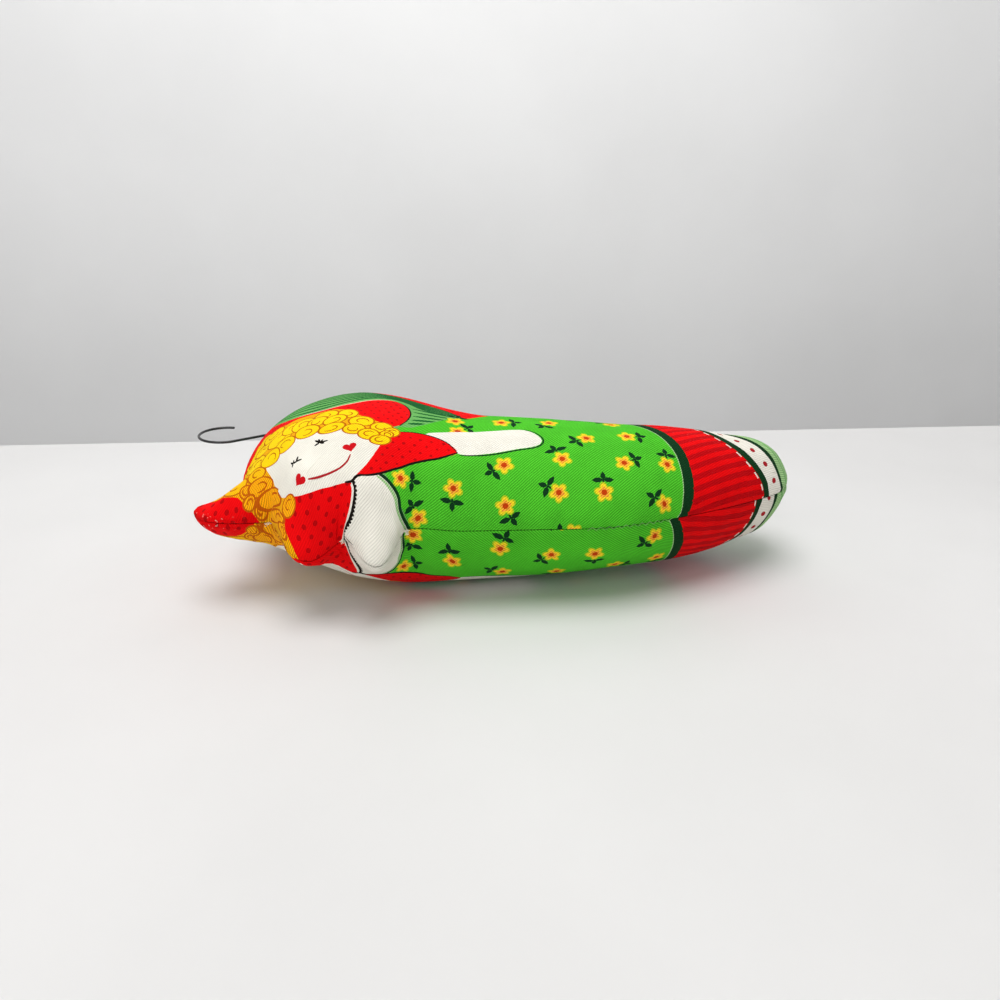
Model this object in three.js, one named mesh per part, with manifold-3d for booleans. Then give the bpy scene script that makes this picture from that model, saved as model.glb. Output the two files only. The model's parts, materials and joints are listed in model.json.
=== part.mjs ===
// A stuffed cotton angel, lying on its back: two cut panels sewn together round their edge, wads of fibre in each
// lobe, a hand-closed opening, and a wire hook in a thread loop at the crown.
// Millimetres. X runs from the crown to the feet, Y across the figure, Z up out of the figure's front.
import * as THREE from "three";
import { mergeVertices } from "three/addons/utils/BufferGeometryUtils.js";
import Module from "manifold-3d";

const wasm = await Module();
wasm.setup();

// Outline of the sewn figure, measured from a point in the middle of the skirt.
const TAIL_REACH = 91;
const SKIRT_NEAR = 25;
const SKIRT_FAR = 32;
const WAIST_NEAR = 26;
const WING_REACH = 55;
const CROWN_REACH = 79;
const BOW_REACH = 86.5;
const SLEEVE_REACH = 34;
const BODICE_REACH = 38;

// Cloth, seam and fibre.
const CLOTH = 0.5;
const SEAM_GAP = 1;
const RIM = 1.1;
const FIBRE_CLEARANCE = 0.4;
const FIBRE_INSET = 2.2;
const WAD_GAP = 0.3;
const REST_CUT = 2.2;

// How high each panel stands over the seam for the width of its lobe, and how the seam draws it in.
// The share changes toward the head between two distances from the middle of the skirt.
const FRONT_PUFF = { head: 0.65, skirt: 0.555, tail: 0.615, headFrom: 6, headTo: 50 };
const BACK_PUFF = { head: 0.45, skirt: 0.6, tail: 0.77, headFrom: 22, headTo: 62 };
const PINCH = 0.35;
const PINCH_WIDTH = 1.6;

// Lobes stuffed fuller or slacker than the rest: where, how wide, and how much more the front and the back rise.
const FULL_LOBES = [
  { x: 6.5 - BOW_REACH, y: -14.5, reach: 15, front: -0.03, back: 0.45 },
  { x: 3.5 - BOW_REACH, y: -13, reach: 10, front: -0.28, back: 0.1 },
  { x: -52, y: 4 - SLEEVE_REACH, reach: 14, front: 0.05, back: -0.5 },
  { x: -32, y: 5 - BODICE_REACH, reach: 12, front: 0.1, back: -0.2 },
  { x: TAIL_REACH - 3, y: 16, reach: 20, front: 0.22, back: 0.3 },
];

// Places where the seam hangs or is drawn up: how wide each is, and how far the seam and all that lies in it drops.
const SAGS = [
  { x: -30, y: -BODICE_REACH, reach: 15, drop: 5 },
  { x: -22, y: -WAIST_NEAR - 1, reach: 12, drop: -0.8 },
  { x: -49.5, y: -SLEEVE_REACH, reach: 12, drop: 5.2 },
];

// Threads.
const SEAM_THREAD = 0.4;
const OPENING_START = 20;
const OPENING_LENGTH = 28;
const STITCH_PITCH = 2.4;
const STITCH_RISE = 1;
const LOOP_THREAD = 0.6;
const LOOP_LENGTH = 9.5;
const LOOP_WIDTH = 4.2;
const LOOP_TILT = THREE.MathUtils.degToRad(40);

// Wire hook.
const HOOK_WIRE = 0.9;
const EYE_RADIUS = 2.4;
const EYE_SLACK = 1.1;
const EYE_SWEEP = THREE.MathUtils.degToRad(250);
const SHANK = 18.2;
const BEND_RADIUS = 8.3;
const BEND_SWEEP = THREE.MathUtils.degToRad(226);
const HOOK_TURN = THREE.MathUtils.degToRad(82);
const HOOK_TILT = THREE.MathUtils.degToRad(3);

const MESH_STEP = 4.8;
const RING_INSET = 2.7;

// Outline stations in order round the figure, starting at the tip of the bow. A corner is a sewn notch.
const station = (x, y, corner = false) => ({ point: new THREE.Vector3(x, y, 0), corner });
const hanger = station(-CROWN_REACH + 9.5, WING_REACH - 11.5);
const outline = [
  station(-BOW_REACH, -12.8),
  station(-BOW_REACH + 3.2, -18),
  station(-BOW_REACH + 10.5, -20.8),
  station(-63, -20, true),
  station(-53, -SLEEVE_REACH),
  station(-41, -30, true),
  station(-32, -BODICE_REACH),
  station(-25, -WAIST_NEAR, true),
  station(-12, -SKIRT_NEAR - 1),
  station(10, -SKIRT_NEAR),
  station(30, -SKIRT_NEAR + 1.5),
  station(51, -SKIRT_NEAR + 9),
  station(TAIL_REACH - 17, -4),
  station(TAIL_REACH - 4, 6),
  station(TAIL_REACH, 18),
  station(TAIL_REACH - 6, 28),
  station(TAIL_REACH - 21, SKIRT_FAR - 1.5),
  station(48, SKIRT_FAR - 1),
  station(25, SKIRT_FAR),
  station(6, SKIRT_FAR - 1),
  station(-8, SKIRT_FAR - 1),
  station(-20, WING_REACH - 13),
  station(-38, WING_REACH),
  station(-CROWN_REACH + 19, WING_REACH - 3),
  hanger,
  station(-CROWN_REACH + 3, 33),
  station(-CROWN_REACH, 10),
  station(-CROWN_REACH + 6, -8, true),
  station(-BOW_REACH + 3.5, -9),
];

// The outline as smooth runs between its corners, sampled about every step.
function sampleOutline(step) {
  const first = outline.findIndex((s) => s.corner);
  const turned = [...outline.slice(first), ...outline.slice(0, first + 1)];
  const points = [];
  let run = [turned[0].point];
  for (const s of turned.slice(1)) {
    run.push(s.point);
    if (s.corner) {
      const curve = new THREE.CatmullRomCurve3(run);
      const count = Math.max(3, Math.round(curve.getLength() / step));
      points.push(...curve.getSpacedPoints(count).slice(0, -1));
      run = [s.point];
    }
  }
  return points.map((p) => new THREE.Vector2(p.x, p.y));
}

// Unit vector into the figure at each point of a closed outline that runs anticlockwise.
function inwardNormals(points) {
  return points.map((p, i) => {
    const before = points[(i + points.length - 1) % points.length];
    const after = points[(i + 1) % points.length];
    const a = p.clone().sub(before).normalize();
    const b = after.clone().sub(p).normalize();
    const along = a.add(b).normalize();
    return new THREE.Vector2(-along.y, along.x);
  });
}

function isInside(p, polygon) {
  let inside = false;
  polygon.forEach((a, i) => {
    const b = polygon[(i + 1) % polygon.length];
    const crosses = a.y > p.y !== b.y > p.y;
    if (crosses && p.x < ((b.x - a.x) * (p.y - a.y)) / (b.y - a.y) + a.x) {
      inside = !inside;
    }
  });
  return inside;
}

function distanceToOutline(p, polygon) {
  let best = Infinity;
  polygon.forEach((a, i) => {
    const edge = polygon[(i + 1) % polygon.length].clone().sub(a);
    const offset = p.clone().sub(a);
    const share = THREE.MathUtils.clamp(offset.dot(edge) / edge.lengthSq(), 0, 1);
    best = Math.min(best, offset.addScaledVector(edge, -share).length());
  });
  return best;
}

// Delaunay triangles of a set of points, by adding one point at a time.
function delaunay(points) {
  const far = 1e4;
  const all = [
    ...points,
    new THREE.Vector2(-far, -far),
    new THREE.Vector2(far, -far),
    new THREE.Vector2(0, far),
  ];
  const n = points.length;
  const circle = (i, j, k) => {
    const a = all[i];
    const b = all[j].clone().sub(a);
    const c = all[k].clone().sub(a);
    const d = 2 * (b.x * c.y - b.y * c.x);
    const x = (c.y * b.lengthSq() - b.y * c.lengthSq()) / d;
    const y = (b.x * c.lengthSq() - c.x * b.lengthSq()) / d;
    return { corners: [i, j, k], x: a.x + x, y: a.y + y, r2: x * x + y * y };
  };
  let triangles = [circle(n, n + 1, n + 2)];
  for (let p = 0; p < n; p++) {
    const { x, y } = all[p];
    const kept = [];
    const open = new Map();
    for (const t of triangles) {
      if ((x - t.x) ** 2 + (y - t.y) ** 2 > t.r2) {
        kept.push(t);
        continue;
      }
      for (let e = 0; e < 3; e++) {
        const from = t.corners[e];
        const to = t.corners[(e + 1) % 3];
        if (!open.delete(to + "_" + from)) {
          open.set(from + "_" + to, [from, to]);
        }
      }
    }
    triangles = kept;
    for (const [from, to] of open.values()) {
      triangles.push(circle(from, to, p));
    }
  }
  return triangles.map((t) => t.corners).filter((t) => t.every((i) => i < n));
}

// A triangulated plan of the figure: the outline, a ring just inside it, and an even field of points.
function planMesh() {
  const edge = sampleOutline(MESH_STEP);
  const inward = inwardNormals(edge);
  const points = [...edge];
  edge.forEach((p, i) => {
    const next = (i + 1) % edge.length;
    const middle = p.clone().add(edge[next]).multiplyScalar(0.5);
    const into = inward[i].clone().add(inward[next]).normalize();
    const ring = middle.addScaledVector(into, RING_INSET);
    if (isInside(ring, edge) && distanceToOutline(ring, edge) > 0.8 * RING_INSET) {
      points.push(ring);
    }
  });
  const box = new THREE.Box2().setFromPoints(edge);
  const rowStep = (MESH_STEP * Math.sqrt(3)) / 2;
  const rows = Math.floor((box.max.y - box.min.y) / rowStep);
  const columns = Math.floor((box.max.x - box.min.x) / MESH_STEP);
  for (let row = 0; row <= rows; row++) {
    for (let column = 0; column <= columns; column++) {
      const x = box.min.x + (column + (row % 2) / 2) * MESH_STEP;
      const p = new THREE.Vector2(x, box.min.y + row * rowStep);
      if (isInside(p, edge) && distanceToOutline(p, edge) > RING_INSET + 0.6 * MESH_STEP) {
        points.push(p);
      }
    }
  }
  const triangles = delaunay(points).filter(([i, j, k]) => {
    const middle = points[i].clone().add(points[j]).add(points[k]).divideScalar(3);
    return isInside(middle, edge);
  });
  return { edge, inward, points, triangles };
}

// How far a tight skin over the outline rises at each plan point: zero round the edge and most in the widest lobes.
function membrane({ edge, points, triangles }) {
  const links = points.map(() => new Map());
  const load = points.map(() => 0);
  for (const corners of triangles) {
    for (let e = 0; e < 3; e++) {
      const [i, j, k] = [corners[e], corners[(e + 1) % 3], corners[(e + 2) % 3]];
      const u = points[i].clone().sub(points[k]);
      const v = points[j].clone().sub(points[k]);
      const doubleArea = Math.abs(u.cross(v));
      const weight = u.dot(v) / doubleArea / 2;
      links[i].set(j, (links[i].get(j) ?? 0) + weight);
      links[j].set(i, (links[j].get(i) ?? 0) + weight);
      load[k] += (2 * doubleArea) / 3;
    }
  }
  const rise = points.map(() => 0);
  for (let round = 0; round < 400; round++) {
    for (let i = edge.length; i < points.length; i++) {
      let sum = load[i];
      let total = 0;
      for (const [j, weight] of links[i]) {
        sum += weight * rise[j];
        total += weight;
      }
      rise[i] += 1.7 * (sum / total - rise[i]);
    }
  }
  return rise;
}

const plan = planMesh();
const rise = membrane(plan);
const draw = plan.points.map((p) => 1 - PINCH * Math.exp(-distanceToOutline(p, plan.edge) / PINCH_WIDTH));

function panelHeights(puff, side) {
  return plan.points.map((p, i) => {
    const towardHead = THREE.MathUtils.smoothstep(-p.x, puff.headFrom, puff.headTo);
    const towardTail = THREE.MathUtils.smoothstep(p.x, 28, 76);
    const share = puff.skirt + (puff.head - puff.skirt) * towardHead + (puff.tail - puff.skirt) * towardTail;
    let fullness = 1;
    for (const lobe of FULL_LOBES) {
      const away = Math.hypot(p.x - lobe.x, p.y - lobe.y);
      fullness += lobe[side] * (1 - THREE.MathUtils.smoothstep(away, 0, lobe.reach));
    }
    return share * fullness * Math.sqrt(Math.max(rise[i], 0)) * draw[i];
  });
}

const frontHeights = panelHeights(FRONT_PUFF, "front");
const fullBack = panelHeights(BACK_PUFF, "back");
const restDepth = Math.max(...fullBack) - REST_CUT;
const backHeights = fullBack.map((h) => Math.min(h, restDepth));
const seamHeight = restDepth + SEAM_GAP / 2;

// Outer surface of one panel, with the seam plane at zero: side is 1 for the front and -1 for the back.
function skinPoints(heights, side) {
  return plan.points.map((p, i) => new THREE.Vector3(p.x, p.y, side * (heights[i] + SEAM_GAP / 2)));
}

function pointNormals(points, side) {
  const normals = points.map(() => new THREE.Vector3());
  for (const corners of plan.triangles) {
    const [a, b, c] = corners.map((i) => points[i]);
    const face = b.clone().sub(a).cross(c.clone().sub(a)).multiplyScalar(side);
    corners.forEach((i) => normals[i].add(face));
  }
  return normals.map((n) => n.normalize());
}

// The skin moved inward by depth, with its edge drawn in along the seam plane.
function insetSkin(points, side, depth, edgeInset, edgeHeight) {
  const normals = pointNormals(points, side);
  return points.map((p, i) => {
    if (i >= plan.edge.length) {
      return p.clone().addScaledVector(normals[i], -depth);
    }
    const at = plan.edge[i].clone().addScaledVector(plan.inward[i], edgeInset);
    return new THREE.Vector3(at.x, at.y, edgeHeight);
  });
}

function meshGeometry(points, triangles) {
  const geometry = new THREE.BufferGeometry().setFromPoints(points);
  geometry.setIndex(triangles.flat());
  return geometry;
}

const flip = ([i, j, k]) => [i, k, j];

// One panel: outer skin, inner skin, and the rim between them where it meets the other panel.
function panelGeometry(heights, side) {
  const outer = skinPoints(heights, side);
  const inner = insetSkin(outer, side, CLOTH, RIM, (side * SEAM_GAP) / 2);
  const shift = outer.length;
  const faces = [...plan.triangles];
  faces.push(...plan.triangles.map((t) => flip(t).map((i) => i + shift)));
  plan.edge.forEach((_, i) => {
    const next = (i + 1) % plan.edge.length;
    faces.push([next, i, i + shift], [next, i + shift, next + shift]);
  });
  return meshGeometry([...outer, ...inner], side > 0 ? faces : faces.map(flip));
}

function toSolid(geometry) {
  const bare = geometry.clone();
  bare.deleteAttribute("normal");
  bare.deleteAttribute("uv");
  const merged = mergeVertices(bare, 1e-4);
  const vertProperties = new Float32Array(merged.attributes.position.array);
  const triVerts = new Uint32Array(merged.index.array);
  return new wasm.Manifold(new wasm.Mesh({ numProp: 3, vertProperties, triVerts }));
}

function toGeometry(solid) {
  const { vertProperties, triVerts } = solid.getMesh();
  const geometry = new THREE.BufferGeometry();
  geometry.setAttribute("position", new THREE.BufferAttribute(new Float32Array(vertProperties), 3));
  geometry.setIndex([...triVerts]);
  return geometry;
}

// All the fibre as one mass under the panels, closed along a ring inside the seam.
function fibreMass() {
  const depth = CLOTH + FIBRE_CLEARANCE;
  const top = insetSkin(skinPoints(frontHeights, 1), 1, depth, FIBRE_INSET, 0);
  const bottom = insetSkin(skinPoints(backHeights, -1), -1, depth, FIBRE_INSET, 0);
  const count = plan.edge.length;
  const below = (i) => (i < count ? i : i - count + top.length);
  const faces = [...plan.triangles, ...plan.triangles.map((t) => flip(t).map(below))];
  return toSolid(meshGeometry([...top, ...bottom.slice(count)], faces));
}

// Plan points where the wads of fibre part, at the sewn notches and across the figure between them.
const [bowNotch, sleeveNotch, bodiceNotch, crownNotch] = outline.filter((s) => s.corner).map((s) => s.point);
const wingRoot = new THREE.Vector3(-CROWN_REACH, 22, 0);
const wingEnd = new THREE.Vector3(-4, SKIRT_FAR + 1, 0);
const shoulder = wingRoot.clone().lerp(wingEnd, 0.66);
const FIELD = 140;
const partings = [
  [wingRoot, wingEnd],
  [crownNotch, bowNotch],
  [bowNotch, sleeveNotch],
  [sleeveNotch, bodiceNotch],
  [sleeveNotch, shoulder],
];

function partingWall([from, to]) {
  const along = to.clone().sub(from);
  const wall = new THREE.BoxGeometry(along.length() + 2 * FIBRE_INSET, WAD_GAP, FIELD);
  wall.rotateZ(Math.atan2(along.y, along.x));
  wall.translate((from.x + to.x) / 2, (from.y + to.y) / 2, 0);
  return toSolid(wall);
}

function prism(corners) {
  const shape = new THREE.Shape(corners.map((c) => new THREE.Vector2(c.x, c.y)));
  const block = new THREE.ExtrudeGeometry(shape, { depth: FIELD, bevelEnabled: false });
  block.translate(0, 0, -FIELD / 2);
  return toSolid(block);
}

const at = (x, y) => new THREE.Vector3(x, y, 0);
const parted = partings.reduce((mass, line) => mass.subtract(partingWall(line)), fibreMass());
const wadFields = {
  wing_fill: [wingRoot, wingEnd, at(-4, FIELD), at(-FIELD, FIELD), at(-FIELD, wingRoot.y)],
  body_fill: [sleeveNotch, bodiceNotch, at(bodiceNotch.x, -FIELD), at(FIELD, -FIELD), at(FIELD, FIELD), at(-4, FIELD),
    wingEnd, shoulder],
  head_fill: [crownNotch, bowNotch, sleeveNotch, shoulder, wingRoot, at(-FIELD, wingRoot.y), at(-FIELD, crownNotch.y)],
  bow_fill: [crownNotch, at(-FIELD, crownNotch.y), at(-FIELD, -FIELD), at(bowNotch.x, -FIELD), bowNotch],
  sleeve_fill: [bowNotch, at(bowNotch.x, -FIELD), at(sleeveNotch.x, -FIELD), sleeveNotch],
  bodice_fill: [sleeveNotch, at(sleeveNotch.x, -FIELD), at(bodiceNotch.x, -FIELD), bodiceNotch],
};

// A round thread or wire along a curve.
function strand(curve, diameter, steps, sides) {
  const ring = [];
  for (let i = 0; i < sides; i++) {
    const angle = (2 * Math.PI * i) / sides;
    ring.push(new THREE.Vector2(Math.cos(angle), Math.sin(angle)).multiplyScalar(diameter / 2));
  }
  return new THREE.ExtrudeGeometry(new THREE.Shape(ring), { steps, extrudePath: curve, bevelEnabled: false });
}

// The seam as a line that can be walked, from the end of the hand-closed opening right round to its start.
const seamLine = new THREE.CatmullRomCurve3(
  plan.edge.map((p) => new THREE.Vector3(p.x, p.y, 0)),
  true,
);
const seamLength = seamLine.getLength();
const nearSkirt = plan.edge.findIndex((p) => p.x > OPENING_START && p.y < 0);
const openingFrom = nearSkirt / plan.edge.length;

function seamPoint(distance, outward, height) {
  const along = (openingFrom + distance / seamLength) % 1;
  const point = seamLine.getPoint(along);
  const tangent = seamLine.getTangent(along);
  return new THREE.Vector3(point.x + tangent.y * outward, point.y - tangent.x * outward, height);
}

function seamThread() {
  const points = plan.edge.map((p, i) => {
    const inside = p.clone().addScaledVector(plan.inward[i], RIM / 2);
    return new THREE.Vector3(inside.x, inside.y, 0);
  });
  const turned = [...points.slice(nearSkirt), ...points.slice(0, nearSkirt)];
  const covered = Math.ceil((OPENING_LENGTH / seamLength) * points.length) + 1;
  const path = new THREE.CatmullRomCurve3(turned.slice(covered).concat(turned[0]));
  return strand(path, SEAM_THREAD, points.length, 5);
}

// Overcast stitches that close the opening, in a wave over the two panel edges.
function closingThread() {
  const outward = SEAM_THREAD / 2 + 0.35;
  const quarters = 4 * Math.round(OPENING_LENGTH / STITCH_PITCH);
  const points = [];
  for (let i = 3; i <= quarters - 3; i++) {
    const height = STITCH_RISE * Math.sin((Math.PI * i) / 2);
    points.push(seamPoint((i * STITCH_PITCH) / 4, outward, height));
  }
  return strand(new THREE.CatmullRomCurve3(points), SEAM_THREAD, 2 * points.length, 5);
}

// A teardrop of thread: both ends caught at one place in the seam, the bow of the loop LOOP_LENGTH away.
function threadLoop() {
  const root = LOOP_THREAD / 2 + 0.3;
  const half = LOOP_WIDTH / 2;
  const side = [
    [root, 0.5],
    [0.4 * LOOP_LENGTH, 0.72 * half],
    [LOOP_LENGTH - half, half],
    [LOOP_LENGTH - 0.3 * half, 0.72 * half],
  ];
  const points = side.map(([x, z]) => new THREE.Vector3(x, 0, z));
  points.push(new THREE.Vector3(LOOP_LENGTH, 0, 0));
  points.push(...[...side].reverse().map(([x, z]) => new THREE.Vector3(x, 0, -z)));
  return strand(new THREE.CatmullRomCurve3(points), LOOP_THREAD, 24, 6);
}

// The hook lies in its own XY plane. Its origin is the bow of the thread loop, which its small eye goes round.
function wireHook() {
  const points = [];
  const arc = (centre, radius, from, sweep, count) => {
    for (let i = 0; i <= count; i++) {
      const angle = from + (sweep * i) / count;
      points.push(new THREE.Vector3(centre.x + radius * Math.cos(angle), centre.y + radius * Math.sin(angle), 0));
    }
  };
  const eye = new THREE.Vector2(EYE_SLACK, 0);
  const leave = -Math.PI / 2;
  arc(eye, EYE_RADIUS, leave - EYE_SWEEP, EYE_SWEEP, 12);
  const bend = new THREE.Vector2(eye.x + SHANK, eye.y - EYE_RADIUS - BEND_RADIUS);
  arc(bend, BEND_RADIUS, Math.PI / 2, -BEND_SWEEP, 16);
  return strand(new THREE.CatmullRomCurve3(points), HOOK_WIRE, 72, 8);
}

// A piece of the figure, let down with the lobes that hang.
function sagged(geometry) {
  const place = geometry.attributes.position;
  for (let i = 0; i < place.count; i++) {
    let z = place.getZ(i);
    for (const sag of SAGS) {
      const away = Math.hypot(place.getX(i) - sag.x, place.getY(i) - sag.y);
      z -= sag.drop * (1 - THREE.MathUtils.smoothstep(away, 0, sag.reach));
    }
    place.setZ(i, z);
  }
  return geometry;
}

const angel = new THREE.Group();
function addMesh(parent, name, geometry, color, roughness, metalness = 0) {
  const mesh = new THREE.Mesh(geometry, new THREE.MeshStandardMaterial({ color, roughness, metalness }));
  mesh.name = name;
  parent.add(mesh);
}

addMesh(angel, "front_panel", sagged(panelGeometry(frontHeights, 1)), 0x4fae3a, 0.9);
addMesh(angel, "back_panel", sagged(panelGeometry(backHeights, -1)), 0xc8161d, 0.9);
for (const [name, corners] of Object.entries(wadFields)) {
  addMesh(angel, name, sagged(toGeometry(parted.intersect(prism(corners)))), 0xf2efe6, 1);
}
addMesh(angel, "seam_thread", sagged(seamThread()), 0xe9e4d2, 0.8);
addMesh(angel, "closing_thread", sagged(closingThread()), 0xe9e4d2, 0.8);

const hangerIndex = outline.indexOf(hanger);
const before = outline[hangerIndex - 1].point;
const after = outline[hangerIndex + 1].point;
const hanging = new THREE.Group();
hanging.position.copy(hanger.point);
hanging.rotation.z = Math.atan2(after.y - before.y, after.x - before.x) - Math.PI / 2;
const loop = new THREE.Group();
loop.rotation.y = -LOOP_TILT;
addMesh(loop, "hanging_loop", threadLoop(), 0xf0ece0, 0.8);
const hook = new THREE.Group();
hook.position.x = LOOP_LENGTH;
hook.rotation.set(0, LOOP_TILT - HOOK_TILT, HOOK_TURN);
addMesh(hook, "wire_hook", wireHook(), 0x14130f, 0.35, 0.9);
loop.add(hook);
hanging.add(loop);
angel.add(hanging);

// The origin is under the middle of the whole part, on the table.
const whole = new THREE.Box3().setFromObject(angel, true);
const middle = whole.getCenter(new THREE.Vector3());
angel.position.set(-middle.x, -middle.y, seamHeight);

export default angel;
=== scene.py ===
"""A stuffed cotton angel with a printed front and back, sewn round its edge, and a wire hook at its crown.

The panels are cut flat, printed flat and then sewn and stuffed: every print shape is drawn in millimetres
on the flat panel and carried onto the stuffed form.
"""
import bmesh
import bpy
import json
import math
import numpy as np
from mathutils import Euler, Matrix, Vector, noise
from mathutils.bvhtree import BVHTree
from mathutils.geometry import delaunay_2d_cdt


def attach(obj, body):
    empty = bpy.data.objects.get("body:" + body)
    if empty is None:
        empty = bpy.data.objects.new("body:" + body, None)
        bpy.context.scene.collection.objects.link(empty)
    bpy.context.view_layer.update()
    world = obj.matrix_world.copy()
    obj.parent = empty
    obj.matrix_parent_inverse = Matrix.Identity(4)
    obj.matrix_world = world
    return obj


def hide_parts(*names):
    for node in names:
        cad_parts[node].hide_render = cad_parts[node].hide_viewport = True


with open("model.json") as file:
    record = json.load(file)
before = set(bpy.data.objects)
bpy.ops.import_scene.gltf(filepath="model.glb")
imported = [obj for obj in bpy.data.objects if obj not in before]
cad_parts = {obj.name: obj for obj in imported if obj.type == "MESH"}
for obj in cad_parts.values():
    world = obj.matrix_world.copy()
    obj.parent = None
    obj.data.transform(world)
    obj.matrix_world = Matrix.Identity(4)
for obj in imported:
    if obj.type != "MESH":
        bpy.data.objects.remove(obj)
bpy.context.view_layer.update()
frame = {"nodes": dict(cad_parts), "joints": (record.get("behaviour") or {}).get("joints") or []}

MM = 0.001

# Where the middle of the skirt, on the seam, lies in the shared frame.
SEAM_MIDDLE = np.array([7.20912, -8.96718, 24.59054])

# Outline of the sewn figure, anticlockwise from the tip of the bow. Its corners are sewn notches.
OUTLINE = [
    (-86.5, -12.8), (-83.3, -18), (-76, -20.8), (-63, -20), (-53, -34), (-41, -30), (-32, -38), (-25, -26),
    (-12, -26), (10, -25), (30, -23.5), (51, -16), (74, -4), (87, 6), (91, 18), (85, 28), (70, 30.5),
    (48, 31), (25, 32), (6, 31), (-8, 31), (-20, 42), (-38, 55), (-60, 52), (-69.5, 43.5), (-76, 33),
    (-79, 10), (-73, -8), (-83, -9),
]
CORNERS = (3, 5, 7, 27)
NOTCHES = [OUTLINE[i] for i in CORNERS]

# Where the hanging loop is sewn in, and the rubbed places of the bow with their reach.
HANGER = OUTLINE[24]
WEAR = [((-80, -20), 5), ((-86, -14), 4)]

# Stuffing: how high each panel stands for the width of its lobe, how the seam draws it in, and its lumps.
FRONT_PUFF = {"head": 0.65, "skirt": 0.555, "tail": 0.615, "head_from": 6, "head_to": 50}
BACK_PUFF = {"head": 0.45, "skirt": 0.6, "tail": 0.77, "head_from": 22, "head_to": 62}
TAIL_FROM = 28
TAIL_RUN = 48
PINCH = 0.35
PINCH_WIDTH = 1.6
REST_CUT = 2.2
LUMP = 0.35
LUMP_SIZE = 11
LUMP_FADE = 6

# Lobes that are fuller or slacker than the rest: the place, its reach and what the front and the back gain.
FULL_LOBES = [
    (-80, -14.5, 15, -0.03, 0.45), (-83, -13, 10, -0.28, 0.1), (-87, -13.5, 5, 0.45, 0.3),
    (-52, -30, 14, 0.05, -0.5), (-32, -33, 12, 0.1, -0.2), (88, 16, 20, 0.22, 0.3),
]

# Lobes that hang: the place, its reach and the drop.
SAGS = [(-30, -38, 15, 5), (-22, -27, 12, -0.8), (-49.5, -34, 12, 5.2)]

# Cloth: its thickness, how it parts at the seam, the steps of its meshes, and how the back print lies.
CLOTH = 0.45
SEAM_SPLIT = 0.12
SEAM_SPLIT_FADE = 0.8
RIM = 0.5
CLOTH_STEP = 1.8
RIM_RINGS = (0.12, 0.5, 1.15)
RIM_GRID = 1.7
ROW_PITCH = 0.866
PRINT_STEP = 1.25
LINING_STEP = 3.5
LINING_MARK = 20
TABLE_GAP = 0.03
BACK_PRINT_SHIFT = (-1.7, -1.6)
BACK_PRINT_STRETCH = (0.98, 1)

# Twill: the pitch of its ribs across and along the panel, how far they wander, and how they shade the ink:
# painted shade in the grooves and painted highlight on the rib tops, laid into the colour.
RIB_ACROSS = 0.82
RIB_ALONG = 0.9
RIB_WANDER = 2.2
THREAD_PITCH = 0.42
RIB_PAINTED_SHADE = -0.52
RIB_PAINTED_HIGHLIGHT = 0.42
RIB_SHARE = 0.7
THREAD_SHARE = 0.3

# Cloth pass: its working scale and length, how far a point may move, sink and slip, the spare cloth and what
# is held.
CLOTH_SCALE = 0.01
CLOTH_FRAMES = 20
CLOTH_MOST = 1.2
CLOTH_SINK = 0.05
CLOTH_SLIP = 0.4
PUCKER = 0.12
PUCKER_PITCH = 6.5
PUCKER_REACH = 3.5
PUCKER_WANDER = 13
NOTCH_REACH = 8
BACK_PUCKER = 2.9
ON_SEAM = 0.05
FREE_RIM = 4
HOLD_RUN = 14
HANGER_CALM = 4
HANGER_FADE = 8
CLOTH_SETTINGS = {
    "quality": 5, "mass": 0.1, "tension_stiffness": 40, "compression_stiffness": 40, "shear_stiffness": 20,
    "bending_stiffness": 0.05, "use_pressure": True, "uniform_pressure_force": 1.0,
    "vertex_group_shrink": "tight", "shrink_min": -PUCKER, "shrink_max": 0, "vertex_group_mass": "held",
    "pin_stiffness": 8,
}

# Wads of fibre: how far they are drawn in from the cloth, and their lumps.
WAD_INSET = 0.5
WAD_LUMP = 0.3
WAD_GRAIN = 160

# Seam, closing stitches, hanging loop and hook.
SEAM_INSET = 0.8
SEAM_STEP = 1.2
SEAM_WAVE = 0.12
SEAM_WAVES = 2.6
SEAM_AHEAD = 0.4
SEAM_THREAD = 0.28
OPENING_START = 20
OPENING_LENGTH = 28
STITCH_PITCH = 2.4
STITCH_OUT = 0.18
STITCH_RISE = 0.4
STITCH_THREAD = 0.2
STITCH_STEP = 0.25
LOOP_THREAD = 0.6
LOOP_PLIES = 0.85
LOOP_LAY = 1.6
LOOP_WIDTH = 4.2
LOOP_GATHER = 0.3
HOOK_WIRE = 0.9
EYE_RADIUS = 2.4
EYE_SLACK = 1.1
EYE_SWEEP = math.radians(250)
SHANK = 18.2
BEND_RADIUS = 8.3
BEND_SWEEP = math.radians(226)
HOOK_STEP = 0.5
HOOK_RUN = np.array([-0.744176, -0.667944, 0.007284])

# Loose thread ends in the near notches: the way each tuft points, its count and its spread along the seam.
TUFTS = [(-0.5, -0.86, 6, 0.6), (-0.1, -1, 12, 0.3), (0.3, -0.95, 16, 0.5)]
TUFT_SHORT = 0.8
TUFT_LONG = 1.9
TUFT_STRAND = 0.15
TUFT_OUT = 0.4
TUFT_CURL = 0.25

# The cut panel would overlap itself beside the bow and behind the waist, so the cloth there is cut smaller
# and stretched: each place with its reach and its ease.
CROWDED = [(-76, -6, 26, 0.8), (-6, 31, 24, 0.7), (-63, -20, 9, 0.6)]


def unit(vectors):
    return vectors / np.linalg.norm(vectors, axis=1)[:, None]


def left_of(along):
    return np.stack([-along[:, 1], along[:, 0]], 1)


def cross(u, v):
    return u[:, 0] * v[:, 1] - u[:, 1] * v[:, 0]


def run_along(line):
    """How far along a line each of its points is."""
    return np.r_[0, np.cumsum(np.linalg.norm(np.diff(line, axis=0), axis=1))]


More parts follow.
